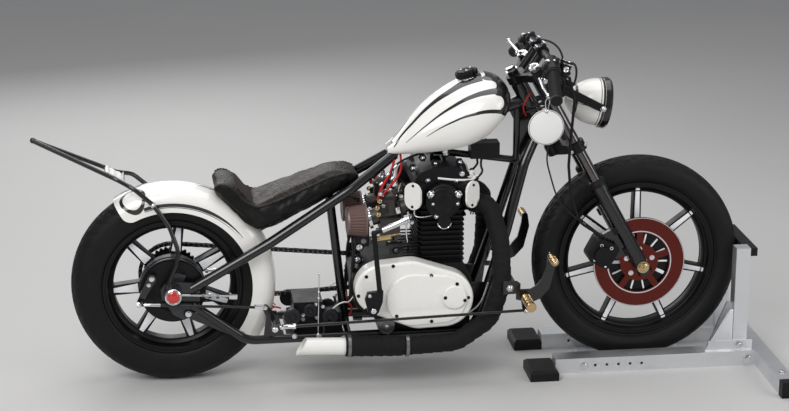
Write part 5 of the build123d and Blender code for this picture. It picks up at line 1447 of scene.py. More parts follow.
class Skin:
    """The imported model's outside, to seat small fittings on what carries them."""

    def __init__(self, frame: dict, names: Iterable[str]) -> None:
        """Gather the meshes of some CAD nodes.

        Args:
            names: The nodes.
        """
        made = bmesh.new()
        for name in names:
            made.from_mesh(frame["nodes"][name].data)
        self.tree = BVHTree.FromBMesh(made)
        made.free()

    def seat(self, x: float, z: float, side: int, fallback: float) -> Vector:
        """The outermost point of the skin beside a place on the bike's side.

        Args:
            x: Place along the bike, in millimetres.
            z: Height.
            side: -1 for the right side, 1 for the left.
            fallback: Distance from the middle where nothing is hit.

        Returns:
            The point, in millimetres.
        """
        start = place(x, side * 600.0, z)
        hit = self.tree.ray_cast(start, across(-side))
        return Vector((x, hit[0].y / MM if hit[0] else side * fallback, z))

    def down(self, x: float, y: float, fallback: float) -> Vector:
        """The highest point of the skin at a place seen from above."""
        hit = self.tree.ray_cast(place(x, y, 1400.0), DOWN)
        return Vector((x, y, hit[0].z / MM if hit[0] else fallback))


@dataclass
class Engine:
    """Fasteners and small fittings of the engine, its head and its covers."""

    frame: dict
    cover_screws: tuple = ((596, 367), (571, 305), (680, 398), (799, 364), (880, 334), (842, 292), (904, 281),
                           (917, 285),
                           (596, 259), (690, 236), (800, 214))
    small_nuts: tuple = ((798, 650), (888, 646), (809, 584), (885, 582), (820, 542))
    domes: tuple = ((803, 615), (887, 612))

    def covers(self) -> None:
        """Sunk black screws round both side covers."""
        work = Work()
        for side, node in ((-1, "right_cover"), (1, "left_cover")):
            skin = Skin(self.frame, (node,))
            for x, z in self.cover_screws:
                spot = skin.seat(x, z, side, 0.0)
                if abs(spot.y) > 60:
                    work.bolt(spot - across(side * 0.5), across(side), 5.6, 2.6, Head.SOCKET)
        work.finish("cover_screws", BOLT_BLACK)

    def head(self) -> None:
        """Chrome nuts, dome nuts, cap screws and head fins."""
        skin = Skin(self.frame, ("cylinder_head", "points_cover", "rocker_box", "rocker_caps", "frame_spine"))
        chrome, black = Work(), Work()
        for side in SIDES:
            way = across(side)
            for x, z in self.small_nuts:
                chrome.bolt(skin.seat(x, z, side, 122), way, 6.5, 9, Head.DOME)
            for x, z in self.domes:
                chrome.bolt(skin.seat(x, z, side, 122), way, 12, 17, Head.DOME)
            for x, z in ((769, 675), (783, 718), (859, 728), (905, 668)):
                chrome.bolt(skin.seat(x, z, side, 60), way, 7, 8)
            for x, z in ((748, 640), (746, 572), (938, 636), (934, 572)):
                black.bolt(skin.seat(x, z, side, 136), way, 4.2, 3.4, Head.SOCKET)
            middle = skin.seat(842, 588, side, 130)
            black.turned(middle, way, [(-4, 0), (-4, 46), (1.4, 46), (3.4, 43), (4.2, 30), (3.2, 28.5),
                                       (4.4, 26), (5, 0)], 56)
            for degrees in around(3, 90):
                black.bolt(middle + spoke(degrees, 37) + across(side * 3), way, 4, 3, Head.SOCKET)
            low = skin.seat(845, 560, side, 122)
            black.rod((845, low.y - side * 22, 524), (845, low.y + side * 1.5, 524), 21, sides=32, edge=2)
            rim = Vector((845, low.y + side * 1.5, 524))
            chrome.sleeve([rim + spoke(190 + 8 * step, 21.4) for step in range(21)], lambda along, turn: 2.1, 8)
            for z in range(545, 598, 13):
                for x in (745, 941):
                    black.block((x, side * 62, z), (13, 104, 2.6), edge=0.6)
        chrome.finish("head_nuts", BOLT_CHROME)
        black.finish("head_fittings", FINISHES["engine_black"])
        white = Work()
        white.block((905, -104, 655), (62, 4, 4.5), (0, 2, 0), 1.2)
        white.block((936, -104, 664), (8, 5, 26), (0, 18, 0), 1.5)
        white.block((948, -104, 656), (22, 4, 5), (0, -24, 0), 1.2)
        white.bolt((934, -107, 668), RIGHT, 5, 5)
        white.finish("head_bracket", WHITE_PLASTIC, slot="ivory_paint")

    def oil_lines(self) -> None:
        """Bright oil lines to the head and along the crankcase."""
        work = Work()
        for side in SIDES:
            work.line([(752, side * 140, 566), (748, side * 141, 546), (770, side * 137, 538),
                       (800, side * 130, 540),
                       (820, side * 124, 542)], 2.2)
        work.line([(742, -60, 400), (738, -100, 430), (728, -108, 500), (736, -112, 552)], 2.6)
        work.line([(985, -150, 322), (978, -152, 300), (966, -150, 262), (948, -146, 236), (920, -140, 216)],
                  3.0)
        work.finish("oil_lines", BOLT_CHROME)

    def below(self) -> None:
        """Filter housings with their bolts, case bolts under the covers and the drain plug."""
        skin = Skin(self.frame, ("engine_cases",))
        grey, bright = Work(), Work()
        for side in SIDES:
            x, y, _ = skin.seat(664, 214, side, 120)
            grey.turned((x, y - side * 6, 188), across(side),
                        [(0, 0), (0, 27), (18, 27), (20, 24), (20, 13), (23, 12), (23, 0)], 32)
            bright.bolt((x, y + side * 16, 188), across(side), 6, 6)
            for degrees in around(3, 40):
                lug = Vector((x, y, 188)) + spoke(degrees, 27)
                grey.rod(lug - across(side * 5), lug + across(side * 13), 5, sides=12, edge=1)
            for px, pz in ((735, 196), (790, 188), (850, 186), (905, 196)):
                bright.bolt(skin.seat(px, pz, side, 100), across(side), 5.5, 6)
        bright.bolt((780, -60, 168), DOWN, 11, 8)
        grey.finish("filter_housings", GREY_METAL)
        bright.finish("case_bolts", BOLT_CHROME)

    def plugs(self) -> None:
        """Spark plugs with their caps and leads."""
        rubber, metal = Work(), Work()
        for side in SIDES:
            seat, out = Vector((930, side * 40, 606)), Vector((0.72, side * 0.15, 0.62)).normalized()
            metal.turned(seat, out, [(0, 0), (0, 10), (6, 10), (6, 7), (16, 7), (16, 0)], 6)
            rubber.turned(seat, out, [(14, 0), (14, 8.5), (44, 8), (48, 6), (48, 0)], 16)
            top = seat + out * 46
            rubber.line([top, top + out * 26, (975, side * 34, 672), (985, side * 26, 710),
                         (1004, side * 24, 742)], 3.6)
        metal.finish("spark_plugs", BOLT_CHROME)
        rubber.finish("plug_leads", BLACK_LEAD)

    def build(self) -> None:
        """Make every fitting of the engine."""
        self.covers()
        self.head()
        self.oil_lines()
        self.below()
        self.plugs()


@dataclass
class Intake:
    """Carburettor fittings, pleated filters, fuel lines and looms behind the head."""

    carb_x: float = 680.0
    port_y: float = 76.0
    pleats: int = 30

    def filters(self) -> None:
        """Pleated gauze pods with rubber ends and clamps."""
        gauze, ends, clamps = Work(), Work(), Work()
        for side in SIDES:
            y = side * self.port_y
            route = [Vector((608 - 3 * step, y, 517)) for step in range(1, 20)]
            gauze.sleeve(route, lambda along, turn: 50.5 - 8 * along / 54 + 1.5 * math.sin(turn * self.pleats),
                         180)
            ends.turned((608, y, 517), (-1, 0, 0), [(-2, 0), (-2, 50), (0, 52), (4, 52), (5, 50), (5, 0)], 48)
            ends.turned((552, y, 517), (-1, 0, 0), [(-3, 0), (-3, 44), (0, 45.5), (4, 44), (6, 40), (6, 24),
                                                    (4.5, 22), (4.5, 0)], 48)
            clamps.ring((618, y, 522), (8, 0, 2), [(-4, 24), (-4, 32), (6, 32), (6, 24)], 32)
            clamps.block((621, y - 4, 556), (10, 14, 8), edge=1.5)
        gauze.finish("filter_pleats", FINISHES["filter_mesh"], replaced=("air_filters",), sharp=70.0)
        ends.finish("filter_ends", Cast("filter_end_alloy", (0.2, 0.15, 0.14), 0.5, 0.4, wear=0.2),
                    slot="carb_alloy")
        clamps.finish("filter_clamps", BOLT_CHROME)

    def carburettors(self) -> None:
        """Caps, screws, flanges, brass fittings and the linkage."""
        dark, bright, brass = Work(), Work(), Work()
        x = self.carb_x
        for side in SIDES:
            y = side * self.port_y
            dark.ring((x, y, 596), UP, [(-6, 30), (-6, 34), (2, 34), (3, 33), (3, 20)], 32)
            bright.turned((x, y, 612), UP, [(-1, 0), (-1, 12), (3, 12), (4, 10), (12, 7), (22, 6.5), (22, 0)],
                          18)
            for degrees in around(4, 45):
                way = spoke(degrees)
                bright.bolt((x + 30 * way.x, y + 30 * way.z, 598), UP, 3.6, 4.5, Head.SOCKET)
                bright.bolt((x + 1 + 27 * way.x, y + 25 * way.z, 529), UP, 3.2, 4, Head.SOCKET)
            dark.block((x + 1, y, 529), (70, 64, 5), edge=1.5)
            dark.block((x - 22, y + side * 29, 560), (34, 10, 30), (0, -18, 0), 3)
            dark.block((x + 32, y, 556), (9, 66, 58), (0, -18, 0), 3)
            bright.block((x + 24, y + side * 30, 556), (14, 12, 22), (0, -18, 0), 2)
            for dx, dz in ((-31, 51), (-21, 12), (34, 41), (61, -27), (68, -45)):
                bright.bolt((x + dx, y + side * 33, 560 + dz), across(side), 5.5, 8)
            bright.rod((640, y + side * 36, 495), (722, y + side * 36, 518), 3.4, sides=12, edge=1)
            for px, pz, radius in ((722, 518, 7), (640, 495, 6)):
                bright.rod((px, y + side * 30, pz), (px, y + side * 40, pz), radius, sides=14, edge=1)
            for dx, dy, z, length in ((-38, 24, 566, 22), (-30, 26, 588, 18), (-34, 22, 545, 26)):
                root = Vector((x + dx, y + side * dy, z))
                step = Vector((-6, side * length, 0))
                brass.rod(root, root + step, 4.4, sides=12, edge=0.8)
                brass.bolt(root + step / 2, across(side), 6.4, 5)
            brass.bolt((x, y, 452), DOWN, 8, 8)
            brass.rod((x - 60, y + side * 26, 462), (x + 34, y + side * 26, 478), 3.2, sides=10)
            brass.block((x - 22, y + side * 26, 466), (52, 5, 16), (0, -6, 0), 1.5)
        dark.finish("carburettor_caps", DARK_METAL)
        bright.finish("carburettor_fittings", BOLT_CHROME)
        brass.finish("carburettor_brass", BRASS_FITTING)

    def lines(self) -> None:
        """Fuel hoses with their clips, throttle cables, the loom down the seat post and the relays on it."""
        red, black, clips, boxes, caps = Work(), Work(), Work(), Work(), Work()
        x = self.carb_x
        for side in SIDES:
            y = side * self.port_y
            red.line([(704, side * 26, 726), (702, side * 40, 696), (690, side * 64, 672),
                      (668, side * 92, 650),
                      (646, side * 100, 612), (642, side * 100, 588)], 4.0)
            red.line([(722, side * 22, 726), (724, side * 44, 690), (716, side * 78, 668),
                      (690, side * 98, 640),
                      (652, side * 104, 600)], 3.4)
            black.line([(x, y, 632), (x + 2, y, 664), (x + 30, y * 0.6, 694), (800, side * 30, 722),
                        (900, side * 24, 742)], 3.4)
            for px, pz in ((676, 664), (700, 686), (654, 636), (690, 652)):
                out = side * (86 - (pz - 640) * 0.3)
                clips.rod((px - 5, out, pz - 4), (px + 6, out, pz + 5), 5.2, sides=12, edge=1)
            clips.rod((706, side * 78, 600), (716, side * 84, 636), 2.8, sides=10, edge=0.8)
            for number in range(5):
                shift = number * 7.0
                wave = (-1) ** number * 6
                route = ((596 - shift, 34 + shift, 560), (588 - shift + wave, 48 + shift, 500),
                         (570 + wave, 66 + shift * 0.6, 440), (566 - wave, 70 + shift * 0.5, 370),
                         (560 + wave, 72 + shift * 0.4, 300), (556, 66 + shift * 0.3, 236))
                black.line([(px, side * py, pz) for px, py, pz in route], 3.2)
        red.finish("fuel_hoses", RED_LEAD)
        black.finish("throttle_cables", BLACK_LEAD)
        clips.finish("hose_clips", BOLT_CHROME)
        for side in SIDES:
            for z in (482, 450):
                boxes.rod((600, side * 40, z), (600, side * 78, z), 14, sides=24, edge=2)
                caps.rod((600, side * 77, z), (600, side * 81, z), 8.5, sides=20, edge=1.2)
            boxes.block((596, side * 52, 466), (46, 40, 76), edge=4)
        boxes.finish("relay_boxes", DARK_METAL)
        caps.finish("relay_caps", GREY_METAL, slot="chrome")

    def build(self) -> None:
        """Make the filters, the carburettor fittings and the lines."""
        self.filters()
        self.carburettors()
        self.lines()


@dataclass
class LowDeck:
    """The electrics' details, the kick lever's and control plates' bolts and the foot pegs' rings."""

    frame: dict
    terminals: tuple = ((423, 236), (436, 241), (448, 245), (470, 236), (407, 210), (407, 196), (449, 200),
                        (489, 194))

    def electrics(self) -> None:
        """Drums, terminals, wires and bolts round the battery box."""
        skin = Skin(self.frame, ("electrics",))
        drums, bright, red, pale = Work(), Work(), Work(), Work()
        for side in SIDES:
            for x, z, radius in ((372, 214, 27), (430, 226, 22), (492, 206, 26)):
                spot = skin.seat(x, z, side, 90)
                drums.turned(spot, across(side), [(-2, 0), (-2, radius), (9, radius), (12, radius - 3),
                                                  (12, radius * 0.62), (9, radius * 0.58), (9, 0)], 32)
                for ring in (0.35, 0.8):
                    drums.ring(spot + across(side * 9), across(side),
                               [(0, radius * ring - 2), (2.4, radius * ring), (0, radius * ring + 2)], 28)
            for x, z in self.terminals:
                bright.bolt(skin.seat(x, z, side, 90) + across(side), across(side), 4.6, 8)
            for x, z in ((375, 161), (452, 158), (530, 150)):
                bright.bolt(Vector((x, side * 128, z)), across(side), 7, 8)
            red.line([(336, side * 70, 236), (318, side * 92, 252), (300, side * 84, 236),
                      (292, side * 72, 208), (330, side * 70, 190)], 2.6)
            red.line([(528, side * 60, 240), (548, side * 84, 256), (566, side * 78, 228),
                      (556, side * 60, 200)], 2.6)
            pale.line([(340, side * 74, 228), (322, side * 98, 240), (306, side * 90, 214),
                       (330, side * 76, 196)], 2.2)
            pale.line([(500, side * 94, 236), (524, side * 102, 262), (560, side * 88, 250),
                       (574, side * 66, 286)], 2.2)
        drums.finish("electric_drums", DARK_METAL)
        bright.finish("deck_bolts", BOLT_CHROME)
        red.finish("red_wires", RED_LEAD)
        pale.finish("pale_wires", WHITE_PLASTIC)

    def controls(self) -> None:
        """Bolts of the kick lever and the control plates, and turned rings on the pegs."""
        skin = Skin(self.frame, ("kick_lever", "forward_controls", "brake_linkage"))
        work, rings = Work(), Work()
        for x, z, radius in ((612, 274, 9), (600, 323, 6)):
            work.bolt(skin.seat(x, z, -1, 230), RIGHT, radius, 6, Head.SOCKET)
        for side in SIDES:
            for x, z, radius in ((1041, 324, 10), (1092, 252, 7)):
                spot = skin.seat(x, z, side, 212)
                if abs(spot.y) > 100:
                    work.bolt(spot, across(side), radius, 8, Head.DOME)
            for number in range(9):
                y = side * (226 + number * 10)
                rings.ring((1092, y, 290), across(side), [(0, 13), (1.5, 15), (5, 15), (6.5, 13)], 24)
            rings.turned((1092, side * 312, 290), across(side), [(0, 0), (0, 16), (4, 16), (6, 14), (6, 0)], 24)
            for number in range(5):
                y = side * (236 + number * 10)
                rings.ring((1170, y, 421), across(side), [(0, 10), (1.4, 12), (5, 12), (6.4, 10)], 20)
        work.finish("control_bolts", BOLT_CHROME)
        rings.finish("peg_rings", FINISHES["brass"])

    def build(self) -> None:
        """Make the electrics' and the controls' fittings."""
        self.electrics()
        self.controls()


@dataclass
class RearEnd:
    """Axle caps, chain adjusters and the drum brake's fittings."""

    frame: dict

    def axle(self) -> None:
        """A red cap in a chrome ring on each end of the axle, and the adjuster rods with their nuts."""
        skin = Skin(self.frame, ("rear_axle", "frame_axle_plates"))
        ring, red = Work(), Work()
        for side in SIDES:
            spot = skin.seat(0, 315, side, 128)
            ring.turned(spot, across(side), [(-3, 0), (-3, 27), (3, 27), (6, 25), (7.5, 21.5), (5.5, 19.5),
                                             (5.5, 0)], 44)
            red.turned(spot, across(side), [(5, 0), (5, 19.5), (7, 18), (9.5, 10), (10, 0)], 36)
            start, end = Vector((24, side * 126, 312)), Vector((176, side * 126, 302))
            ring.rod(start, end, 3.6, sides=12)
            for along in (0.42, 0.56, 0.72):
                middle = start.lerp(end, along)
                ring.turned(middle, (end - start).normalized(), [(0, 0), (0, 8), (9, 8), (9, 0)], 6)
            ring.block((186, side * 124, 301), (26, 14, 18), (0, 4, 0), 2.5)
        ring.finish("rear_axle_caps", BOLT_CHROME)
        red.finish("rear_axle_jewels", BRIGHT_RED)

    def brake(self) -> None:
        """Bolts, ribs, a clevis and grey plates of the drum brake."""
        skin = Skin(self.frame, ("rear_brake_plate", "brake_linkage"))
        work, black, grey = Work(), Work(), Work()
        for x, z, radius in ((-64, 363, 7), (-74, 344, 5.5), (46, 239, 8), (212, 160, 7), (307, 226, 8),
                             (284, 264, 5.5),
                             (328, 231, 5), (-104, 289, 5)):
            work.bolt(skin.seat(x, z, -1, 110), RIGHT, radius, 7)
        work.block((268, -137, 266), (34, 15, 15), (0, 2, 0), 2)
        work.rod((-92, -137, 289), (-40, -137, 285.8), 5.6, sides=12, edge=1)
        work.turned((-112, -137, 289.4), (1, 0, 0), [(0, 0), (0, 8), (10, 8), (10, 0)], 6)
        plate = skin.seat(20, 372, -1, 96)
        for radius in (96, 84):
            black.ring((0, plate.y, 315), RIGHT, [(-1, radius - 3), (2, radius - 2), (2, radius),
                                                  (-1, radius + 1)], 72)
        black.turned((34, plate.y, 382), RIGHT, [(-1, 0), (-1, 11), (4, 11), (5, 9), (5, 6), (3, 5), (3, 0)],
                     24)
        grey.plate([(-30, 286), (44, 286), (62, 232), (32, 218), (0, 236)], plate.y - 2, plate.y - 7, 1.4)
        grey.plate([(-6, 340), (34, 344), (44, 362), (18, 372), (-10, 362)], plate.y + 1, plate.y - 3, 1.2)
        work.finish("rear_brake_bolts", BOLT_CHROME)
        black.finish("rear_brake_ribs", FINISHES["cast_black"])
        grey.finish("rear_brake_plates", Cast("plate_grey", (0.05, 0.055, 0.06), 0.3, 0.4, wear=0.1),
                    slot="cast_black")

    def build(self) -> None:
        """Make the rear end's fittings."""
        self.axle()
        self.brake()


@dataclass
class SissyBar:
    """The two rods behind the seat, their cross rod, and a plate between them with five turned bars."""

    rod_r: float = 7.0
    route: tuple = ((-12, 124.5, 352), (14, 117, 410), (20, 106, 452), (-6, 96, 530), (-54, 89, 598),
                    (-112, 85, 650),
                    (-160, 46, 668), (-410, 4, 789))
    bends: tuple = (60.0, 60.0, 120.0, 120.0, 50.0, 50.0)

    def build(self) -> None:
        """Make the rods, the stays, the plate and its bars."""
        rods, bars, bolts = Work(), Work(), Work()
        for side in SIDES:
            line = rounded_route([(x, side * y, z) for x, y, z in self.route], self.bends, 6.0)
            rods.sleeve(line, lambda along, turn: self.rod_r, 16)
            rods.rod((-52, side * 77, 595), (-52, side * 94, 595), 6.5, sides=14, edge=1)
            rods.rod((-12, side * 124.5, 352), (-13, side * 124.5, 330), 11, sides=18, edge=2)
            bolts.bolt((-52, side * 95, 595), across(side), 7, 6, Head.DOME)
        rods.rod((-141, -61, 661), (-141, 61, 661), 5, sides=14)
        rods.ball((-410, 0, 789), 9.5)
        middle = Vector((-166, 0, 673))
        along, up = Vector((0.861, 0, -0.508)), Vector((0.508, 0, 0.861))
        rods.block(middle, (70, 74, 3), (0, 30.5, 0), 1.2)
        for number in range(-2, 3):
            start = middle + across(number * 14) + up * 3
            bars.turned(start - along * 34, along, [(0, 0), (0, 2.0), (6, 4.2), (12, 1.6), (22, 4.6), (34, 1.6),
                                                    (46, 4.6), (56, 1.6), (62, 4.2), (68, 2.0), (68, 0)], 10)
        rods.finish("sissy_rods", FINISHES["black_paint"], replaced=("sissy_bar",))
        bars.finish("sissy_turned_bars", IVORY_CAP)
        bolts.finish("sissy_bolts", BOLT_CHROME)


@dataclass
class Cockpit:
    """Grips, levers, tag, cables and fasteners round the bar, the yokes and the fork."""

    grip_in: float = 222.0
    grip_out: float = 345.0
    grip_pitch: float = 5.2
    fork_y: float = 97.0

    def bar(self, y: float) -> Vector:
        """A point of the bar's outer stretch."""
        centre = fork(765.0, 50.0)
        share = (abs(y) - 150.0) / 195.0
        return Vector((centre.x + 6 - 22 * share, y, centre.z - 84 * share))

    def grips(self) -> None:
        """Rubber grips with fine ribs, flanges and ends."""
        work = Work()
        for side in SIDES:
            start, end = self.bar(side * self.grip_in), self.bar(side * (self.grip_out + 5))
            route = [start.lerp(end, number / 90) for number in range(91)]
            length = (end - start).length

            def reach(along: float, turn: float) -> float:
                """Radius of the grip at a place."""
                if along < 7:
                    return 23.0 if along > 1 else 21.5
                if along > length - 8:
                    return 18.6
                return 17.2 + (1.1 if (along / self.grip_pitch) % 1.0 < 0.55 else 0.0)
            work.sleeve(route, reach, 32)
        work.finish("grip_rubbers", FINISHES["black_rubber"], Body.FRONT_END, replaced=("grips",), sharp=60.0)

    def levers(self) -> None:
        """Turned chrome lever blades with balls, pivots and adjusters, and the tag on its wire."""
        chrome, tag, wire, ring = Work(), Work(), Work(), Work()
        blades = {-1: ((1147, -168, 970), (1132, -196, 976), (1130, -250, 964), (1134, -300, 954)),
                  1: ((1147, 168, 970), (1136, 200, 982), (1129, 254, 990), (1124, 304, 996))}
        for side, points in blades.items():
            route = rounded_route(points, (20.0, 60.0), 4.0)
            chrome.sleeve(route, lambda along, turn: 7.6 - along * 0.024, 14)
            chrome.ball(points[-1], 8.5)
            chrome.rod((1147, side * 156, 970), (1147, side * 180, 970), 8.5, sides=20, edge=1.5)
            chrome.bolt((1147, side * 170, 977), UP, 6, 7)
            for number in range(3):
                chrome.ball((1146 - number * 9, side * (182 + 4 * number), 976 + number * 2), 5.2, 10)
            perch = self.bar(side * 196)
            chrome.turned(perch + Vector((-14, 0, 22)), (-1, 0, 2), [(0, 0), (0, 6), (5, 6), (6, 4), (6, 0)],
                          14)
        middle = Vector((1129, -300, 857))
        tag.turned(middle + across(1.5), RIGHT, [(0, 0), (0, 54), (0.6, 54.8), (2.4, 54.8), (3, 54), (3, 0)],
                   72)
        for side in SIDES:
            ring.ring(middle + across(side * 1.4), across(side),
                      [(0, 51.7), (0.5, 51.7), (0.5, 53.1), (0, 53.1)], 72)
        wire.line([(1134, -311, 955), (1124, -306, 944), (1125, -302, 925), (1129, -300, 908),
                   (1133, -300, 908),
                   (1136, -299, 926), (1142, -296, 944), (1134, -291, 956)], 1.4)
        wire.ring((1129, -301.8, 906), RIGHT, [(0, 2.4), (0.6, 5), (0, 6)], 20)
        chrome.finish("lever_blades", FINISHES["chrome"], Body.FRONT_END, replaced=("hand_levers",))
        tag.finish("blank_tag", FINISHES["tag_white"], Body.FRONT_END, replaced=("hang_tag",))
        ring.finish("tag_edge_line", BLACK_LEAD, Body.FRONT_END)
        wire.finish("tag_wire", BOLT_CHROME, Body.FRONT_END)

    def reservoir(self) -> None:
        """Chrome ring, sight glass and screws of the fluid cup, and the switch pods."""
        foot = self.bar(-169) + Vector((34, 0, -38))
        up = Vector((0.35, 0, 1)).normalized()
        chrome, black = Work(), Work()
        chrome.ring(foot + up * 35, up, [(0, 18), (0, 21.6), (3, 21.6), (3, 18)], 36)
        chrome.turned(foot + up * 44, up, [(-1, 0), (-1, 15), (1.4, 14), (2, 0)], 30)
        side_glass = foot + up * 20 + across(-18.5)
        chrome.turned(side_glass, RIGHT, [(0, 9), (1.4, 9), (2, 7), (1, 5.5), (1, 0)], 24)
        for side in SIDES:
            pod = self.bar(side * 196)
            black.block(pod + Vector((-20, 0, 6)), (22, 28, 20), (0, 20, 0), 4)
            black.block(pod + Vector((14, 0, 24)), (14, 12, 16), (0, 20, 0), 3)
            chrome.bolt(pod + Vector((4, side * 6, 24)), (0.2, 0, 1), 4, 4, Head.SOCKET)
            for dx in (-1, 1):
                clamp = fork(765.0 + 16, 50.0 + dx * 13, side * 42)
                black.block(clamp, (12, 26, 12), (0, -28, 0), 2)
                for aside in (side * 6, -side * 7):
                    chrome.bolt(clamp + Vector((0, aside, 6)), UP, 4.6, 5, Head.SOCKET)
        chrome.finish("bar_fittings", BOLT_CHROME, Body.FRONT_END)
        black.finish("switch_pods", DARK_METAL, Body.FRONT_END, slot="black_paint")

    def fork_fittings(self) -> None:
        """Fork caps, pinch bolts, stem nut, dust wipers, and the sliders' bolts and lugs."""
        chrome, rubber, black = Work(), Work(), Work()
        lean = (fork(100.0) - fork(0.0)).normalized()
        for side in SIDES:
            y = side * self.fork_y
            top = fork(748.0, 0.0, y)
            chrome.turned(top, lean, [(-2, 0), (-2, 19.5), (4, 19.5), (6, 17), (6, 11), (13, 11), (14, 9.5),
                                      (14, 0)], 6)
            for along, forward in ((721.0, 24.0), (456.0, 25.0), (456.0, -25.0)):
                chrome.bolt(fork(along, forward, side * 120.0), across(side), 6, 6, Head.SOCKET)
            wiper = fork(314.0, 0.0, y)
            rubber.ring(wiper, lean, [(-6, 17), (-6, 27.5), (2, 28.5), (9, 27), (14, 22), (15, 17.5)], 36)
            for along in (10.0, -6.0):
                chrome.bolt(fork(along, 18.0, side * 102.0), across(side), 5, 6, Head.SOCKET)
            for along in (70.0, 150.0):
                black.block(fork(along, -22.0, side * 108.0), (16, 14, 26), (0, -math.degrees(RAKE), 0), 3)
        stem = fork(748.0, -60.0)
        chrome.turned(stem, lean, [(-1, 0), (-1, 22), (2, 22), (2, 17), (12, 17), (13, 15), (13, 0)], 6)
        for side in SIDES:
            chrome.bolt(fork(727.0, -6.0, side * 113), (-0.88, 0, -0.48), 6.5, 6, Head.DOME)
        chrome.finish("fork_bolts", BOLT_CHROME, Body.FRONT_END)
        rubber.finish("fork_wipers", FINISHES["black_rubber"], Body.FRONT_END)
        black.finish("fork_lugs", FINISHES["engine_black"], Body.FRONT_END)

    def cables(self) -> None:
        """Control cables and the lamp's loom, bundled behind the lamp."""
        work, red = Work(), Work()
        for side in SIDES:
            start = self.bar(side * 182)
            work.line([start + Vector((14, 0, 2)), start + Vector((56, side * -16, 8)),
                       (1262, side * 112, 1000), (1262, side * 84, 930),
                       (1216, side * 58, 880), (1164, side * 42, 850), (1120, side * 34, 838)], 3.4)
            work.line([start + Vector((-6, 0, -8)), start + Vector((30, side * -20, -34)),
                       (1226, side * 110, 950), (1222, side * 76, 890),
                       (1184, side * 50, 840), (1130, side * 36, 812)], 3.0)
            for number in range(4):
                shift = 9.0 * number
                work.line([(1198 + shift, side * (22 + shift), 968 - shift),
                           (1232, side * (46 - shift), 938 - shift), (1230, side * 30, 884 - shift),
                           (1188 - shift, side * (34 + shift * 0.5), 852 + shift), (1136, side * 30,
                                                                                    872 - shift)], 3.0)
            red.line([(1130, side * 40, 900), (1112, side * 52, 880), (1104, side * 46, 850),
                      (1120, side * 30, 826)], 2.4)
        work.finish("control_cables", BLACK_LEAD, Body.FRONT_END)
        red.finish("loom_red_leads", RED_LEAD, Body.FRONT_END)

    def build(self) -> None:
        """Make everything of the cockpit and the fork."""
        self.grips()
        self.levers()
        self.reservoir()
        self.fork_fittings()
        self.cables()


@dataclass
class TankTop:
    """Ribbed filler cap with its chrome ring and screws."""

    slope: float = 0.24

    def build(self) -> None:
        """Make the cap's ribs, its top, its ring and its screws."""
        low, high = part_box("tank_cap")
        up = Vector((-self.slope, 0, 1)).normalized()
        top = Vector((((low[0] + high[0]) / 2 - REAR_AXLE.x) / MM + 1, 0, high[2] / MM - 12))
        black, chrome = Work(), Work()
        for degrees in around(16):
            way = spoke(degrees)
            spot = top + Vector((way.x * 31, way.z * 31, way.x * 7.4)) - up * 6
            black.rod(spot - up * 7, spot + up * 9, 4.4, sides=10, edge=1.2)
        chrome.ring(top - up * 17, up, [(-2, 30), (-2, 36), (1, 36.6), (3, 34), (3, 30)], 48)
        black.turned(top, up, [(0, 0), (0, 27), (5, 26), (7, 22), (7, 10), (5, 8), (5, 0)], 40)
        for degrees in around(3, 30):
            way = spoke(degrees, 17)
            chrome.bolt(top + Vector((way.x, way.z, way.x * self.slope)) + up * 7, up, 4.6, 4, Head.SOCKET)
        black.finish("cap_ribs", FINISHES["engine_black"])
        chrome.finish("cap_ring", BOLT_CHROME)


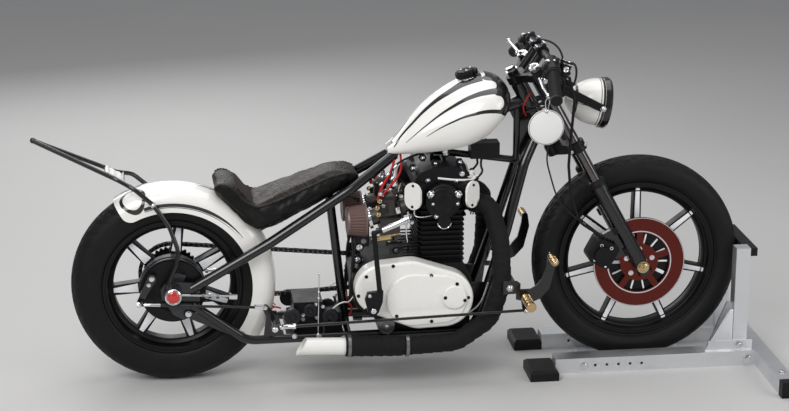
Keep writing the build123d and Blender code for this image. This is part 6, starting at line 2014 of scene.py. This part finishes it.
@dataclass
class Details:
    """Pedal sleeves, knurled pegs, neck gusset, ignition lead, engine fasteners, thin rod and cable."""

    frame: dict

    def pedals(self) -> None:
        """Pedal sleeves, knurls and ends on the pegs and pads, and the thin rod with its beads."""
        chrome, brass = Work(), Work()
        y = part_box("kick_lever")[0][1] / MM + 12
        start, end = Vector((640, y, 530)), Vector((728, y + 3, 563))
        chrome.turned(start, end - start, [(0, 0), (0, 8), (2, 9), (70, 9), (71, 11), (82, 11), (84, 9),
                                           (90, 9), (91, 0)], 24)
        for side in SIDES:
            for x, z, radius, near, far in ((1092, 290, 14, 256, 304), (1170, 421, 11, 244, 279)):
                for degrees in around(20):
                    root = Vector((x, 0, z)) + spoke(degrees, radius)
                    brass.rod(root + across(side * near), root + across(side * far), 1.0, sides=5)
                for at in (near, (near + far) / 2, far):
                    brass.ring((x, side * at, z), across(side),
                               [(-2, radius - 1), (-2, radius + 1.2), (2, radius + 1.2), (2, radius - 1)], 28)
                chrome.ball((x, side * (far + 8.5), z), radius * 0.42, 16)
        sleeve_at = Vector((325, -232, 231))
        chrome.turned(sleeve_at, (1, 0, 0.026), [(-3, 0), (-3, 7), (3, 8.6), (5, 7), (34, 7), (36, 8.6),
                                                 (46, 8.6), (47, 5), (47, 0)], 24)
        chrome.rod((448.3, -134, 158), (453.5, -134, 366.6), 1.7, sides=10)
        for z, radius in ((366, 3.6), (306, 4.2), (286, 4.6), (166, 5.5)):
            chrome.ball((448.3 + (z - 158) * 0.025, -134, z), radius, 12)
        chrome.finish("pedal_polish", BOLT_CHROME)
        brass.finish("peg_knurls", BRASS_FITTING)

    def neck(self) -> None:
        """A gusset plate under the steering head."""
        plates = Work()
        plates.plate([(1099, 872), (1150, 866), (1158, 800), (1140, 730), (1112, 690), (1104, 700),
                      (1101, 780)], -5, 5, 1)
        plates.finish("neck_gussets", FINISHES["black_paint"])

    def head(self) -> None:
        """White lead, bosses and bolts on the engine's top and cases, and the thin cable beside the fork."""
        lead, bolts, caps, cable = Work(), Work(), Work(), Work()
        cases = Skin(self.frame, ("engine_cases",))
        for side in SIDES:
            for x, z, radius in ((586.6, 428, 8), (581.4, 387.4, 8), (704, 412, 6)):
                spot = cases.seat(x, z, side, 70)
                caps.turned(spot, across(side), [(-4, 0), (-4, radius * 2), (3, radius * 1.8),
                                                 (4, radius * 1.4), (4, 0)], 24)
                bolts.bolt(spot + across(side * 3.5), across(side), radius, 6)
            for number in range(5):
                spot = cases.seat(752, 396 + number * 10, side, 70)
                caps.block(spot, (54, 9, 3.4), (0, 0, 0), 0.8)
        lead.line([(829, -112, 656), (866, -116, 651), (912, -116, 648), (940, -110, 647), (952, -98, 655),
                   (946, -90, 668), (928, -92, 670)], 3.6)
        caps.rod((922, -92, 671), (906, -80, 664), 6, sides=14, edge=1)
        for x, z, y in ((790, 706, -52), (862, 716, -52), (828, 690, -64), (758, 676, -60), (906, 690, -60)):
            caps.rod((x, y + 12, z), (x, y, z), 13, sides=6, edge=1.5)
            bolts.bolt((x, y - 1, z), RIGHT, 6.5, 6, Head.DOME)
        cable.line([(1190, -60, 742), (1178, -62, 700), (1196, -62, 633), (1220, -60, 556), (1262, -58, 508),
                    (1312, -76, 470)], 2.6)
        lead.finish("ignition_lead", WHITE_PLASTIC)
        bolts.finish("head_top_bolts", BOLT_CHROME)
        caps.finish("head_top_bosses", FINISHES["engine_black"])
        cable.finish("thin_cable", BLACK_LEAD, Body.FRONT_END)

    def build(self) -> None:
        """Make all of them."""
        self.pedals()
        self.neck()
        self.head()


@dataclass
class ChockFittings:
    """Bolts, washers, weld beads and gussets of the wheel chock."""

    frame: dict

    def build(self) -> None:
        """Make the chock's fasteners and welds."""
        skin = Skin(self.frame, ("wheel_chock",))
        bolts, plates = Work(), Work()
        for side in SIDES:
            for x, z, radius in ((1300, 25, 9), (1812, 68, 8), (1790, 96, 7)):
                spot = skin.seat(x, z, side, 148)
                bolts.turned(spot, across(side), [(0, 0), (0, radius * 1.7), (1.8, radius * 1.7), (1.8, 0)], 24)
                bolts.bolt(spot + across(side * 1.6), across(side), radius, 7)
            joint = skin.seat(1842, 25, side, 148)
            bolts.turned(joint, across(side), [(0, 0), (0, 17), (2.4, 17), (2.4, 0)], 28)
            bolts.bolt(joint + across(side * 2), across(side), 10, 8)
            bolts.bolt((1890, side * 350, 50), UP, 9, 8)
            inner = skin.seat(1760, 25, side, 148).y - side * 14
            plates.plate([(1700, 51), (1790, 51), (1790, 190), (1778, 190)], inner, inner - side * 5, 1)
            for step in range(24):
                plates.ball((1704 + step * 3.6, inner + side * 1.4, 51.5), 2.6, 6)
        bolts.finish("chock_bolts", BOLT_CHROME, Body.FRONT_END)
        plates.finish("chock_gussets", FINISHES["aluminium"], Body.FRONT_END)


# Looks of single nodes, where a slot's own finish is too plain.
SPECIAL = {
    "fuel_tank": TankPaint("tank_paint", IVORY, 0.2, 0.55, 0.02),
    "rear_fender": FenderPaint("fender_paint", IVORY, 0.22, 0.55, 0.02),
    "headlight_shell": LampPaint("lamp_paint", IVORY, 0.2, 0.55, 0.02),
    "fork_tubes": Polished("dark_chrome", (0.13, 0.12, 0.12), 0.08),
    **dict.fromkeys(("fork_yokes", "bar_controls", "headlight_arms", "handlebar"),
                    Cast("satin_black", (0.006, 0.006, 0.007), 0.0, 0.38, wear=0.03)),
}


def dress_nodes(frame: dict) -> None:
    """Give every CAD node the material of its slot.
    """
    made = {slot: made_once(finish) for slot, finish in FINISHES.items()}
    for row in frame["record"]["subparts"]:
        node = frame["nodes"][row["node"]]
        special = SPECIAL.get(row["node"])
        node.data.materials.clear()
        node.data.materials.append(made_once(special) if special else made[row["material_slot"]])
    log.info("dressed %d CAD nodes", len(frame["nodes"]))


def main() -> None:
    """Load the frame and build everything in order."""
    logging.basicConfig(level=logging.INFO, format="%(message)s")
    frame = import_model()
    Studio().build()
    dress_nodes(frame)
    for part in (*WHEELS, FrontBrake(), Exhaust(), DriveChain(), Headlight(), Seat(), Engine(frame),
                 Intake(), LowDeck(frame), RearEnd(frame), SissyBar(), Cockpit(), TankTop(), Details(frame),
                 ChockFittings(frame)):
        part.build()


if __name__ == "__main__":
    main()
